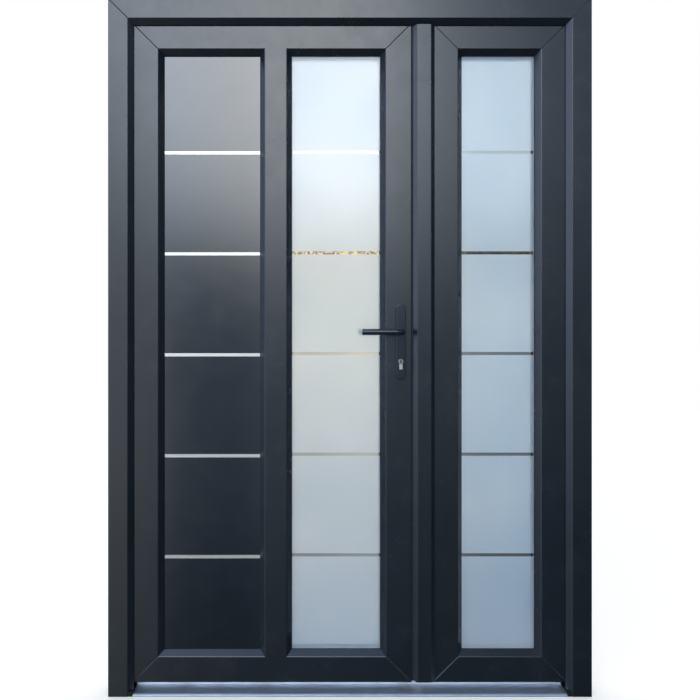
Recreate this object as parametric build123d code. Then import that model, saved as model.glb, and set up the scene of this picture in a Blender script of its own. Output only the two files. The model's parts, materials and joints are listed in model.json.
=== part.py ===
from build123d import *

import os

# Double entrance door: a wide glazed leaf and a narrow one in a plastic frame on a low metal threshold.
# Millimetres. X runs to the right seen from outside, Y runs indoors, Z is up.
# The origin is the floor under the middle of the threshold, halfway through the frame's depth.

# Frame
FRAME_WIDTH = 1500.0
FRAME_HEIGHT = 2164.0
FRAME_OUT = -35.0
FRAME_IN = 35.0
FRAME_FACE = 61.0
FRAME_LIP = 76.0
FRAME_LIP_BACK = -18.0
FRAME_REBATE = 58.0
WALL = 3.0
SEAM_WIDTH, SEAM_DEPTH = 3.0, 1.0

# Leaves: sections are measured from the leaf's outer edge towards its glass
LEAF_OUT = -15.0
LEAF_IN = 55.0
LEAF_FACE = 80.5
REVEAL_REACH = 15.0
REVEAL_BACK = 5.0
GLASS_SEAT = 76.0
FLANGE = 18.0
FLANGE_BACK = 39.0
GROOVE_LOW, GROOVE_HIGH, GROOVE_DEPTH = 12.0, 28.0, 3.0
MAIN_LEAF = (-679.5, 194.0, 34.0, 2096.5)
SIDE_LEAF = (258.6, 680.2, 34.0, 2096.5)

# Mullion of the main leaf
MULLION_X = -231.0
MULLION_HALF_FACE = 34.3
MULLION_HALF_WEB = 29.8

# Glass and panel
PANE_OUT = 7.0
PANE_IN = 35.0
GLASS_THICKNESS = 4.0
GLASS_GAP = 5.0
SPACER_WIDTH = 12.0
FROST_THICKNESS = 0.3
FROST_GAP = 0.05
BAND_HEIGHT = 10.0
BAND_COUNT = 5
BAND_PITCH = 318.6
BAND_MIDDLE = 1062.0
STRIP_HEIGHT = 10.0
STRIP_THICKNESS = 1.2
STRIP_PITCH = 319.0
STRIP_MIDDLE = 1058.0
SKIN = 2.0
BEAD_WIDTH = 21.0
BEAD_LIP = 2.0

# Cover strip between the leaves, carried by the side leaf
COVER_MIDDLE = 231.2
COVER_HALF_FACE = 21.2
COVER_HALF_BASE = 34.2
COVER_OUT = -30.0
COVER_BODY = 206.0
COVER_TOP = 2086.0
COVER_FOOT = 42.0
COVER_CORNER = (8.0, 6.0)
COVER_FOOTING = 11.0

# Threshold
SILL_HALF = 673.5
SILL_NOSE = 5.0
SILL_DECK = 7.5
SILL_TOP = 20.0
SILL_STEP = 21.0
SILL_BREAK = 24.0
SILL_WALL = 2.2

# Lock and handle
SPINDLE_X, SPINDLE_Z = 159.0, 1130.0
CYLINDER_Z = 1038.0
PLATE_WIDTH, PLATE_THICKNESS = 31.0, 9.0
PLATE_FOOT, PLATE_TOP = 981.0, 1217.0
LEVER_LENGTH = 123.0
LEVER_RADIUS = 9.6
LEVER_BEND = 16.0
LEVER_STAND = 38.0
LEVER_ROOT = 5.0
SPINDLE_SIDE = 8.0
SPINDLE_REACH = 8.0
SPINDLE_HOLE = 9.0
LEVER_HOLE = LEVER_RADIUS + 0.2
PLATE_ROUND = 2.5
CASE_DEPTH = 50.0
CASE_FOOT, CASE_TOP = 1003.0, 1175.0
CASE_LOW, CASE_HIGH = 12.5, 27.5
CASE_WALL = 1.5
LATCH_Z, LATCH_HEIGHT = 1153.0, 18.0
LATCH_REACH = 12.0
BOLT_Z, BOLT_HEIGHT = 1085.0, 28.0
END_BOLT_HEIGHTS = (420.0, 1760.0)
END_CASE_HEIGHT = 90.0
BOLT_HALF_THICKNESS = 5.0
LOCK_MIDDLE = 20.0
KEEP_THICKNESS = 3.0
PLUG_RADIUS = 6.5
CAM_RADIUS = 14.0
PROFILE_RADIUS = 8.5
PROFILE_DROP = 24.5
PROFILE_HALF_LEG = 5.0
PROFILE_GAP = 0.2
KEYWAY_HALF, KEYWAY_DEPTH = 1.3, 14.0
SCREW_HEIGHTS = (992.0, 1206.0)
SCREW_RADIUS, SCREW_HEAD_RADIUS = 2.5, 4.5

# Shoot bolts of the side leaf
SHOOT_X, SHOOT_Y = 232.0, 27.5
SHOOT_RADIUS = 4.0
SHOOT_LENGTH = 260.0
SHOOT_REACH_TOP, SHOOT_REACH_FOOT = 18.0, 24.0

# Hinges
HINGE_X, HINGE_Y = 709.0, 66.0
HINGE_HEIGHTS = (230.0, 1065.0, 1900.0)
BARREL_RADIUS = 8.5
PIN_RADIUS = 4.0
KNUCKLE = 24.0
PIVOT_KNUCKLE = 46.0
KNUCKLE_GAP = 0.5
RUNNING_GAP = 0.05
HINGE_PLATE = 4.0
WING_EDGE = 5.0
STRAP_REACH = 44.0
BRIDGE_REACH = 16.0

# Anchor holes in the jambs and the head
ANCHOR_RADIUS = 5.0
ANCHOR_HEIGHTS = (260.0, 800.0, 1350.0, 1890.0)
HEAD_ANCHOR_X = 420.0
ANCHOR_Y = 8.0

FRAME_RECT = (-FRAME_WIDTH / 2, FRAME_WIDTH / 2, 0.0, FRAME_HEIGHT)
SIDES = ("left", "right", "top", "bottom")


def box(x0, x1, y0, y1, z0, z1):
    """A plain block between two corners."""
    return Pos((x0 + x1) / 2, (y0 + y1) / 2, (z0 + z1) / 2) * Box(x1 - x0, y1 - y0, z1 - z0)


def rod(start, direction, radius, length):
    """A round bar from a point along a direction."""
    return extrude(Plane(start, z_dir=direction) * Circle(radius), length)


def rounded(points, radii):
    """A flat outline whose corners have the given radii."""
    return make_face(FilletPolyline(*points, radius=radii, close=True))


def outline(points):
    """A flat outline with sharp corners."""
    return make_face(Polyline(*points, close=True))


def place(rect, side, u, y, along):
    """Turn a section's distance from the outer edge and its depth into a point on one side of a rectangle."""
    x0, x1, z0, z1 = rect
    return {
        "left": (x0 + u, y, along),
        "right": (x1 - u, y, along),
        "top": (along, y, z1 - u),
        "bottom": (along, y, z0 + u),
    }[side]


def run(rect, side, overhang):
    """Where a bar on this side of the rectangle starts, its length and its direction."""
    x0, x1, z0, z1 = rect
    if side in ("left", "right"):
        return z0 - overhang, z1 - z0 + 2 * overhang, (0, 0, 1)
    return x0 - overhang, x1 - x0 + 2 * overhang, (1, 0, 0)


def bar(rect, side, section, overhang=0.0):
    """A straight bar with the section (points, radii), before its ends are cut."""
    points, radii = section
    start, length, direction = run(rect, side, overhang)
    corners = [place(rect, side, u, y, start) for u, y in points]
    face = rounded(corners, radii) if any(radii) else outline(corners)
    return extrude(face, length, dir=direction)


def sharp(points):
    """A section with no rounded corner."""
    return points, [0] * len(points)


def slot_section(u0, u1, y0, y1):
    """A rectangular section, as a chamber or a tube has."""
    return sharp([(u0, y0), (u1, y0), (u1, y1), (u0, y1)])


def mitre(rect, side, overhang, width, square_foot=False):
    """The block that a bar with mitred ends stays inside."""
    x0, x1, z0, z1 = rect
    o = overhang
    foot_out, foot_in = (z0, z0) if square_foot else (z0 - o, z0 + width)
    quads = {
        "left": [(x0 - o, foot_out), (x0 - o, z1 + o), (x0 + width, z1 - width), (x0 + width, foot_in)],
        "right": [(x1 + o, foot_out), (x1 + o, z1 + o), (x1 - width, z1 - width), (x1 - width, foot_in)],
        "top": [(x0 - o, z1 + o), (x1 + o, z1 + o), (x1 - width, z1 - width), (x0 + width, z1 - width)],
        "bottom": [(x0 - o, z0 - o), (x1 + o, z0 - o), (x1 - width, z0 + width), (x0 + width, z0 + width)],
    }
    depth = 200.0
    face = outline([(x, -depth / 2, z) for x, z in quads[side]])
    return extrude(face, depth, dir=(0, 1, 0))


def ring(rect, outer, inner, y0, y1):
    """A flat rectangular ring, such as a gasket, measured in from a rectangle's edges."""
    x0, x1, z0, z1 = rect
    whole = box(x0 + outer, x1 - outer, y0, y1, z0 + outer, z1 - outer)
    return whole - box(x0 + inner, x1 - inner, y0 - 1, y1 + 1, z0 + inner, z1 - inner)


def seam(corner, inner, y, inward):
    """A shallow V groove where two bars are welded, from their outer corner to their inner one."""
    (x0, z0), (x1, z1) = corner, inner
    along = Plane((x0, y, z0), x_dir=(0, inward, 0), z_dir=(x1 - x0, 0, z1 - z0))
    clear = 0.5
    half = SEAM_WIDTH / 2 * (1 + clear / SEAM_DEPTH)
    section = along * outline([(SEAM_DEPTH, 0), (-clear, half), (-clear, -half)])
    return extrude(section, Vector(x1 - x0, 0, z1 - z0).length)


def seams(rect, overhang, width, y, inward, sides=("top", "bottom")):
    """The weld seams at a rectangle's corners, on the face at a depth."""
    x0, x1, z0, z1 = rect
    rows = {"top": (z1, -1), "bottom": (z0, 1)}
    grooves = []
    for z, up in (rows[side] for side in sides):
        for x, right in ((x0, 1), (x1, -1)):
            corner = (x - right * overhang, z - up * overhang)
            inner = (x + right * width, z + up * width)
            grooves.append(seam(corner, inner, y, inward))
    return grooves


def frame_section():
    points = [
        (0, FRAME_OUT),
        (FRAME_FACE, FRAME_OUT),
        (FRAME_LIP, FRAME_LIP_BACK - 1.5),
        (FRAME_LIP, FRAME_LIP_BACK),
        (FRAME_REBATE, FRAME_LIP_BACK),
        (FRAME_REBATE, FRAME_IN),
        (0, FRAME_IN),
    ]
    return points, [3, 3, 0.8, 0, 0, 1.5, 1.5]


FRAME_STEEL = (10.0, 45.0, -12.0, 25.0)
FRAME_CHAMBERS = [
    slot_section(WALL, FRAME_REBATE - WALL, FRAME_OUT + WALL, -21.0),
    slot_section(*FRAME_STEEL),
    slot_section(48.0, FRAME_REBATE - WALL, FRAME_LIP_BACK + WALL, 25.0),
    slot_section(WALL, FRAME_REBATE - WALL, 28.0, FRAME_IN - WALL),
]


def frame_bars():
    """The two jambs and the head, mitred at the top corners."""
    bars = {}
    welds = seams(FRAME_RECT, 0, FRAME_FACE, FRAME_OUT, 1, ("top",))
    welds += seams(FRAME_RECT, 0, FRAME_REBATE, FRAME_IN, -1, ("top",))
    for side in ("left", "right", "top"):
        block = bar(FRAME_RECT, side, frame_section())
        for chamber in FRAME_CHAMBERS:
            block -= bar(FRAME_RECT, side, chamber)
        bars[side] = (block & mitre(FRAME_RECT, side, 0, FRAME_LIP, square_foot=True)) - welds
    return bars


def tube(rect, side, steel, wall, inset):
    """A rectangular steel tube in a bar's chamber, stopped short of the corners."""
    u0, u1, y0, y1 = steel
    body = bar(rect, side, slot_section(u0, u1, y0, y1))
    body -= bar(rect, side, slot_section(u0 + wall, u1 - wall, y0 + wall, y1 - wall))
    x0, x1, z0, z1 = rect
    if side in ("left", "right"):
        return body & box(x0 - 1, x1 + 1, -100, 100, z0 + inset, z1 - inset)
    return body & box(x0 + inset, x1 - inset, -100, 100, z0 - 1, z1 + 1)


def anchor_holes():
    """Round holes through the jambs and the head for the anchors that hold the frame in its wall."""
    half = FRAME_WIDTH / 2
    holes = []
    for z in ANCHOR_HEIGHTS:
        holes.append(rod((-half - 1, ANCHOR_Y, z), (1, 0, 0), ANCHOR_RADIUS, FRAME_LIP))
        holes.append(rod((half + 1, ANCHOR_Y, z), (-1, 0, 0), ANCHOR_RADIUS, FRAME_LIP))
    for x in (-HEAD_ANCHOR_X, HEAD_ANCHOR_X):
        holes.append(rod((x, ANCHOR_Y, FRAME_HEIGHT + 1), (0, 0, -1), ANCHOR_RADIUS, FRAME_LIP))
    return holes


def lip_gasket():
    """The black seal between the frame's lip and the faces of the leaves, round three sides."""
    half = FRAME_WIDTH / 2
    longer = (-half, half, -FRAME_LIP, FRAME_HEIGHT)
    seal = ring(longer, FRAME_LIP - 7, FRAME_LIP - 0.6, FRAME_LIP_BACK, LEAF_OUT)
    return seal - box(-half, half, -100, 100, -FRAME_LIP, SILL_TOP + 12)


def threshold():
    """The low aluminium sill: nose, deck with ribs under it, and the step that the leaves close over."""
    points = [
        (FRAME_OUT, 0),
        (FRAME_OUT, SILL_NOSE),
        (FRAME_OUT + 5, SILL_DECK),
        (SILL_STEP, SILL_DECK + 2),
        (SILL_STEP, SILL_TOP),
        (SILL_BREAK, SILL_TOP),
        (SILL_BREAK, 0),
    ]
    corners = [(-SILL_HALF, y, z) for y, z in points]
    body = extrude(rounded(corners, [0.5, 1.5, 2, 1, 0.8, 0.8, 0]), 2 * SILL_HALF, dir=(1, 0, 0))
    ribs = [FRAME_OUT + SILL_WALL, -17.0, -1.5, 1.5, SILL_STEP - 1]
    for y0, y1 in ((ribs[0], ribs[1]), (ribs[1] + SILL_WALL, ribs[2]), (ribs[3], ribs[4])):
        body -= box(-SILL_HALF - 1, SILL_HALF + 1, y0, y1, -1, SILL_DECK - SILL_WALL - 2)
    return body


def thermal_break():
    """The plastic inner part of the sill, hollow underneath."""
    body = box(-SILL_HALF, SILL_HALF, SILL_BREAK, FRAME_IN, 0, SILL_TOP)
    return body - box(-SILL_HALF - 1, SILL_HALF + 1, SILL_BREAK + 3, FRAME_IN - 3, -1, SILL_TOP - 4)


def end_blocks():
    """The black blocks that close the gap between the sill's ends and the jambs."""
    blocks = []
    for side, sign in (("left", -1), ("right", 1)):
        reach = sorted((sign * SILL_HALF, sign * (FRAME_WIDTH / 2 - FRAME_REBATE)))
        block = box(*reach, FRAME_OUT + 1, FRAME_IN - 1, 0, SILL_DECK + 7)
        blocks += (block - bar(FRAME_RECT, side, frame_section())).solids()
    return Compound(children=blocks)


def leaf_section():
    """The leaf profile: flat face, slope down to the glass, glass seat, flange indoors, hardware groove."""
    points = [
        (0, LEAF_OUT),
        (LEAF_FACE, LEAF_OUT),
        (LEAF_FACE + REVEAL_REACH, REVEAL_BACK - 1.5),
        (LEAF_FACE + REVEAL_REACH, REVEAL_BACK),
        (GLASS_SEAT, REVEAL_BACK),
        (GLASS_SEAT, LEAF_IN),
        (-FLANGE, LEAF_IN),
        (-FLANGE, FLANGE_BACK),
        (0, FLANGE_BACK),
        (0, GROOVE_HIGH),
        (GROOVE_DEPTH, GROOVE_HIGH),
        (GROOVE_DEPTH, GROOVE_LOW),
        (0, GROOVE_LOW),
    ]
    return points, [2.5, 4, 0.8, 0, 0, 0, 3, 1.5, 0, 0, 0, 0, 0]


LEAF_STEEL = (6.0, 61.0, -1.0, 35.0)
LEAF_CHAMBERS = [
    slot_section(WALL, 78.0, LEAF_OUT + WALL, -4.0),
    slot_section(*LEAF_STEEL),
    slot_section(64.0, GLASS_SEAT - WALL, -1.0, LEAF_IN - WALL),
    slot_section(-FLANGE + WALL, 61.0, FLANGE_BACK + WALL, LEAF_IN - WALL),
]
STEEL_WALL = 1.5
STEEL_INSET = 66.0


def leaf_bars(rect):
    """The two stiles and two rails of a leaf, mitred where they are welded."""
    bars = {}
    welds = seams(rect, 0, LEAF_FACE, LEAF_OUT, 1) + seams(rect, FLANGE, GLASS_SEAT, LEAF_IN, -1)
    for side in SIDES:
        block = bar(rect, side, leaf_section(), FLANGE)
        for chamber in LEAF_CHAMBERS:
            block -= bar(rect, side, chamber, FLANGE - WALL)
        bars[side] = (block & mitre(rect, side, FLANGE, LEAF_FACE + REVEAL_REACH)) - welds
    return bars


def leaf_steels(rect):
    return {side: tube(rect, side, LEAF_STEEL, STEEL_WALL, STEEL_INSET) for side in SIDES}


def mullion():
    """The upright between panel and glass, coped over the slopes of the rails it meets."""
    x0, x1, z0, z1 = MAIN_LEAF
    half, tip, web = MULLION_HALF_FACE, MULLION_HALF_FACE + REVEAL_REACH, MULLION_HALF_WEB
    right = [
        (half, LEAF_OUT),
        (tip, REVEAL_BACK - 1.5),
        (tip, REVEAL_BACK),
        (web, REVEAL_BACK),
        (web, LEAF_IN),
    ]
    points = right + [(-u, y) for u, y in reversed(right)]
    radii = [4, 0.8, 0, 0, 1, 1, 0, 0, 0.8, 4]
    foot = z0 + GLASS_SEAT
    corners = [(MULLION_X + u, y, foot) for u, y in points]
    body = extrude(rounded(corners, radii), z1 - z0 - 2 * GLASS_SEAT, dir=(0, 0, 1))
    inner = web - WALL
    for y0, y1 in ((LEAF_OUT + WALL, -4.0), (-1.0, 35.0), (38.0, LEAF_IN - WALL)):
        body -= box(MULLION_X - inner, MULLION_X + inner, y0, y1, z0, z1)
    for side in ("top", "bottom"):
        body -= bar(MAIN_LEAF, side, leaf_section(), FLANGE)
    return body


def openings():
    """The outer edges of the three glazed openings, as rectangles at the glass seat."""
    x0, x1, z0, z1 = MAIN_LEAF
    foot, top = z0 + GLASS_SEAT, z1 - GLASS_SEAT
    s0, s1, _, _ = SIDE_LEAF
    return {
        "panel": (x0 + GLASS_SEAT, MULLION_X - MULLION_HALF_WEB, foot, top),
        "glass": (MULLION_X + MULLION_HALF_WEB, x1 - GLASS_SEAT, foot, top),
        "side": (s0 + GLASS_SEAT, s1 - GLASS_SEAT, foot, top),
    }


LIP_OVER_SEAT = LEAF_FACE + REVEAL_REACH - GLASS_SEAT


def pane(rect, y0, y1):
    x0, x1, z0, z1 = rect
    g = GLASS_GAP
    return box(x0 + g, x1 - g, y0, y1, z0 + g, z1 - g)


def panel_skins(rect):
    """The outer and the inner skin of the panel."""
    outer = pane(rect, PANE_OUT, PANE_OUT + SKIN)
    inner = pane(rect, PANE_IN - SKIN, PANE_IN)
    return Compound(children=[outer, inner])


def glass_panes(rect):
    """The outer and the inner sheet of a sealed unit."""
    outer = pane(rect, PANE_OUT, PANE_OUT + GLASS_THICKNESS)
    inner = pane(rect, PANE_IN - GLASS_THICKNESS, PANE_IN)
    return Compound(children=[outer, inner])


def spacer(rect):
    """The hollow metal bar round the edge of a sealed unit."""
    y0, y1 = PANE_OUT + GLASS_THICKNESS, PANE_IN - GLASS_THICKNESS
    edge = GLASS_GAP + 1
    body = ring(rect, edge, GLASS_GAP + SPACER_WIDTH, y0, y1)
    return body - ring(rect, edge + 1, GLASS_GAP + SPACER_WIDTH - 1, y0 + 1, y1 - 1)


def band_heights():
    first = BAND_MIDDLE - BAND_PITCH * (BAND_COUNT - 1) / 2
    return [first + BAND_PITCH * i for i in range(BAND_COUNT)]


def frosted_fields(rect):
    """The frosted fields on the outer sheet, with a clear band between each and the next."""
    x0, x1, z0, z1 = rect
    edge = GLASS_GAP + SPACER_WIDTH
    y0 = PANE_OUT + GLASS_THICKNESS + FROST_GAP
    feet = [z0 + edge] + [z + BAND_HEIGHT / 2 for z in band_heights()]
    tops = [z - BAND_HEIGHT / 2 for z in band_heights()] + [z1 - edge]
    fields = [
        box(x0 + edge, x1 - edge, y0, y0 + FROST_THICKNESS, foot, top)
        for foot, top in zip(feet, tops)
    ]
    return Compound(children=fields)


def panel_strips(rect):
    """The bright metal strips across the panel's outer skin."""
    x0, x1, _, _ = rect
    inset = LIP_OVER_SEAT + 1.5
    first = STRIP_MIDDLE - STRIP_PITCH * (BAND_COUNT - 1) / 2
    strips = []
    for i in range(BAND_COUNT):
        z = first + STRIP_PITCH * i
        half = STRIP_HEIGHT / 2
        strips.append(box(x0 + inset, x1 - inset, PANE_OUT - STRIP_THICKNESS, PANE_OUT, z - half, z + half))
    return Compound(children=strips)


def glazing_gasket(rect):
    return ring(rect, LIP_OVER_SEAT - 8, LIP_OVER_SEAT + 1, REVEAL_BACK, PANE_OUT)


def beads(rect):
    """Four mitred beads that hold a pane from indoors."""
    section = (
        [
            (0, PANE_IN),
            (BEAD_WIDTH, PANE_IN),
            (BEAD_WIDTH, PANE_IN + BEAD_LIP),
            (BEAD_WIDTH - 5, LEAF_IN),
            (0, LEAF_IN),
        ],
        [0, 0, 1, 3, 0],
    )
    return [(bar(rect, side, section) & mitre(rect, side, 0, BEAD_WIDTH)).solid() for side in SIDES]


def setting_blocks(rect):
    """Plastic blocks that a pane stands on and is wedged with."""
    x0, x1, z0, z1 = rect
    reach = (x1 - x0) / 5
    blocks = []
    for x in (x0 + reach, x1 - reach):
        for z in (z0, z1 - GLASS_GAP):
            blocks.append(box(x - 25, x + 25, PANE_OUT + 1, PANE_IN - 1, z, z + GLASS_GAP))
    return blocks


def flange_gasket(rect):
    """The inner seal behind a leaf's flange."""
    return ring(rect, -FLANGE + 1, -FLANGE + 6, FRAME_IN, FLANGE_BACK)


def bottom_seal(rect):
    """The brush under a leaf, over the sill's top."""
    x0, x1, z0, _ = rect
    return box(x0 + 2, x1 - 2, SILL_BREAK + 5, SILL_BREAK + 10, SILL_TOP + 0.4, z0)


def cover_strip():
    """The cover strip with its hollow body, between the leaves."""
    face, base, back = COVER_HALF_FACE, COVER_HALF_BASE, LEAF_OUT - 3
    lip = [
        (COVER_MIDDLE - face, COVER_OUT),
        (COVER_MIDDLE + face, COVER_OUT),
        (COVER_MIDDLE + base, back),
        (COVER_MIDDLE + base, LEAF_OUT),
        (COVER_BODY, LEAF_OUT),
        (COVER_BODY, back),
        (COVER_MIDDLE - base, back),
    ]
    radii = [3, 3, 0.8, 0, 0, 0, 0.8]
    corners = [(x, y, COVER_FOOT) for x, y in lip]
    body = extrude(rounded(corners, radii), COVER_TOP - COVER_FOOT, dir=(0, 0, 1))
    for sign in (-1, 1):
        body -= cover_corner(COVER_MIDDLE + sign * base, sign)
    _, _, z0, z1 = SIDE_LEAF
    edge = SIDE_LEAF[0]
    body += box(COVER_BODY, edge, LEAF_OUT, FRAME_IN, z0, z1)
    body += box(edge - COVER_FOOTING, edge, FRAME_IN, FLANGE_BACK, z0, z1)
    body -= box(COVER_BODY + WALL, edge - WALL, LEAF_OUT + 1, 10.0, z0 - 1, z1 + 1)
    body -= box(COVER_BODY + WALL, edge - WALL, 13.0, FRAME_IN - WALL, z0 - 1, z1 + 1)
    return body


def cover_corner(edge, sign):
    """The wedge cut off a lower corner of the cover strip."""
    across, up = COVER_CORNER
    front = COVER_OUT - 1
    corners = [
        (edge - sign * 2 * across, front, COVER_FOOT - up),
        (edge + sign * across, front, COVER_FOOT + 2 * up),
        (edge + sign * across, front, COVER_FOOT - up),
    ]
    return extrude(outline(corners), LEAF_OUT + 1 - front, dir=(0, 1, 0))


def cover_caps():
    """The moulded caps at the ends of the cover strip's body, bored for the shoot bolts."""
    _, _, z0, z1 = SIDE_LEAF
    caps = []
    for low, high in ((z0, z0 + 6), (z1 - 6, z1)):
        cap = box(COVER_BODY + WALL, SIDE_LEAF[0] - WALL, 13.0, FRAME_IN - WALL, low, high)
        bore = rod((SHOOT_X, SHOOT_Y, low - 1), (0, 0, 1), SHOOT_RADIUS + RUNNING_GAP, 8)
        caps += (cap - bore).solids()
    return caps


def cover_gasket():
    """The black seal between the cover strip and the main leaf's face."""
    left = COVER_MIDDLE - COVER_HALF_BASE - 4.5
    return box(left, left + 8, LEAF_OUT - 3, LEAF_OUT, COVER_FOOT + 1, COVER_TOP - 1)


def plate_outline(y, margin=0.0):
    """The long plate of the handle, with round ends."""
    height = PLATE_TOP - PLATE_FOOT - 2 * margin
    plane = Plane((SPINDLE_X, y, (PLATE_TOP + PLATE_FOOT) / 2), x_dir=(1, 0, 0), z_dir=(0, 1, 0))
    return plane * SlotOverall(height, PLATE_WIDTH - 2 * margin, rotation=90)


def profile_outline(y, radius, half_leg, drop):
    """The keyhole-shaped outline of a lock cylinder."""
    plane = Plane((SPINDLE_X, y, CYLINDER_Z), x_dir=(1, 0, 0), z_dir=(0, -1, 0))
    leg = Pos(0, -drop / 2 - 1) * Rectangle(2 * half_leg, drop - 2)
    foot = Pos(0, -drop + half_leg) * Circle(half_leg)
    return plane * (Circle(radius) + leg + foot)


def cylinder_hole(y0, y1, gap):
    face = profile_outline(y1, PROFILE_RADIUS + gap, PROFILE_HALF_LEG + gap, PROFILE_DROP + gap)
    return extrude(face, y1 - y0, dir=(0, -1, 0))


def backplate(y0, y1):
    """A plate of the handle set, with holes for the spindle, the cylinder and the screws."""
    outer = y0 < 0
    body = extrude(plate_outline(y0), y1 - y0, dir=(0, 1, 0))
    front = body.faces().sort_by(Axis.Y)[0 if outer else -1]
    body = fillet(front.edges(), PLATE_ROUND)
    body -= rod((SPINDLE_X, y0 - 1, SPINDLE_Z), (0, 1, 0), LEVER_HOLE, y1 - y0 + 2)
    body -= cylinder_hole(y0 - 1, y1 + 1, PROFILE_GAP)
    for z in SCREW_HEIGHTS:
        start, depth = (y1 - 4, 5) if outer else (y0 - 1, y1 - y0 + 2)
        body -= rod((SPINDLE_X, start, z), (0, 1, 0), SCREW_RADIUS + RUNNING_GAP, depth)
    return body


OUTER_PLATE_FACE = LEAF_OUT - PLATE_THICKNESS
INNER_PLATE_FACE = LEAF_IN + PLATE_THICKNESS


def lever(outward, face):
    """A round bar lever: neck, bend and grip, from a plate's face."""
    start = (SPINDLE_X, face - outward * LEVER_ROOT, SPINDLE_Z)
    elbow = (SPINDLE_X, face + outward * LEVER_STAND, SPINDLE_Z)
    tip = (SPINDLE_X - LEVER_LENGTH, face + outward * LEVER_STAND, SPINDLE_Z)
    path = FilletPolyline(start, elbow, tip, radius=LEVER_BEND)
    grip = sweep(Plane(start, z_dir=(0, outward, 0)) * Circle(LEVER_RADIUS), path=path)
    grip = fillet(grip.faces().sort_by(Axis.X)[0].edges(), 2)
    low, high = sorted((face - outward * (LEVER_ROOT + 1), face + outward * SPINDLE_REACH))
    socket = SPINDLE_SIDE / 2 + 0.05
    return grip - box(
        SPINDLE_X - socket, SPINDLE_X + socket, low, high, SPINDLE_Z - socket, SPINDLE_Z + socket
    )


def spindle():
    """The square bar that turns the latch follower and joins the two levers."""
    half = SPINDLE_SIDE / 2
    y0, y1 = OUTER_PLATE_FACE - SPINDLE_REACH, INNER_PLATE_FACE + SPINDLE_REACH
    return box(SPINDLE_X - half, SPINDLE_X + half, y0, y1, SPINDLE_Z - half, SPINDLE_Z + half)


def follower():
    """The hub in the lock case that the spindle turns."""
    y0, y1 = CASE_LOW + CASE_WALL + 0.3, CASE_HIGH - CASE_WALL - 0.3
    hub = rod((SPINDLE_X, y0, SPINDLE_Z), (0, 1, 0), 11.0, y1 - y0)
    half = SPINDLE_SIDE / 2
    return hub - box(
        SPINDLE_X - half, SPINDLE_X + half, y0 - 1, y1 + 1, SPINDLE_Z - half, SPINDLE_Z + half
    )


FACEPLATE_BACK = MAIN_LEAF[1] - GROOVE_DEPTH
CASE_BACK = FACEPLATE_BACK - CASE_DEPTH


def lock_case():
    """The thin steel box of the main lock, open towards the faceplate for its bolts."""
    body = box(CASE_BACK, FACEPLATE_BACK, CASE_LOW, CASE_HIGH, CASE_FOOT, CASE_TOP)
    w = CASE_WALL
    body -= box(
        CASE_BACK + w, FACEPLATE_BACK - w, CASE_LOW + w, CASE_HIGH - w, CASE_FOOT + w, CASE_TOP - w
    )
    body -= rod((SPINDLE_X, 0, SPINDLE_Z), (0, 1, 0), SPINDLE_HOLE, LEAF_IN)
    body -= cylinder_hole(0, LEAF_IN, PROFILE_GAP)
    return body - bolt_windows(FACEPLATE_BACK - 5, FACEPLATE_BACK + 1, 0.4)


def bolt_windows(x0, x1, gap):
    """Clearance for the latch and the dead bolt."""
    low, high = LOCK_MIDDLE - BOLT_HALF_THICKNESS - gap, LOCK_MIDDLE + BOLT_HALF_THICKNESS + gap
    latch = LATCH_HEIGHT / 2 + gap
    bolt = BOLT_HEIGHT / 2 + gap
    return [
        box(x0, x1, low, high, LATCH_Z - latch, LATCH_Z + latch),
        box(x0, x1, low, high, BOLT_Z - bolt, BOLT_Z + bolt),
    ]


def end_bolt_windows(x0, x1, gap):
    low, high = LOCK_MIDDLE - BOLT_HALF_THICKNESS - gap, LOCK_MIDDLE + BOLT_HALF_THICKNESS + gap
    half = BOLT_HEIGHT / 2 + gap
    return [box(x0, x1, low, high, z - half, z + half) for z in END_BOLT_HEIGHTS]


def end_lock_cases():
    """The two small cases above and below the main lock."""
    cases = []
    w = CASE_WALL
    for z in END_BOLT_HEIGHTS:
        low, high = z - END_CASE_HEIGHT / 2, z + END_CASE_HEIGHT / 2
        case = box(CASE_BACK + 8, FACEPLATE_BACK, CASE_LOW, CASE_HIGH, low, high)
        case -= box(CASE_BACK + 8 + w, FACEPLATE_BACK - w, CASE_LOW + w, CASE_HIGH - w, low + w, high - w)
        case -= end_bolt_windows(FACEPLATE_BACK - 5, FACEPLATE_BACK + 1, 0.4)
        cases += case.solids()
    return cases


def faceplate():
    """The long steel strip on the edge of the main leaf."""
    edge = MAIN_LEAF[1]
    body = box(FACEPLATE_BACK, edge, GROOVE_LOW, GROOVE_HIGH, MAIN_LEAF[2] + 60, MAIN_LEAF[3] - 60)
    body -= bolt_windows(FACEPLATE_BACK - 1, edge + 1, 0.4)
    body -= end_bolt_windows(FACEPLATE_BACK - 1, edge + 1, 0.4)
    return body


def lock_pockets():
    """What is milled out of the lock stile and its steel for the cases, spindle, cylinder and screws."""
    pockets = [box(CASE_BACK, FACEPLATE_BACK + 1, CASE_LOW, CASE_HIGH, CASE_FOOT, CASE_TOP)]
    for z in END_BOLT_HEIGHTS:
        half = END_CASE_HEIGHT / 2
        pockets.append(box(CASE_BACK + 8, FACEPLATE_BACK + 1, CASE_LOW, CASE_HIGH, z - half, z + half))
    through = LEAF_IN - LEAF_OUT + 2
    pockets.append(rod((SPINDLE_X, LEAF_OUT - 1, SPINDLE_Z), (0, 1, 0), SPINDLE_HOLE, through))
    pockets.append(cylinder_hole(LEAF_OUT - 1, LEAF_IN + 1, 1.0))
    for z in SCREW_HEIGHTS:
        pockets.append(rod((SPINDLE_X, LEAF_OUT - 1, z), (0, 1, 0), SCREW_RADIUS + 1, through))
    return pockets


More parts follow.
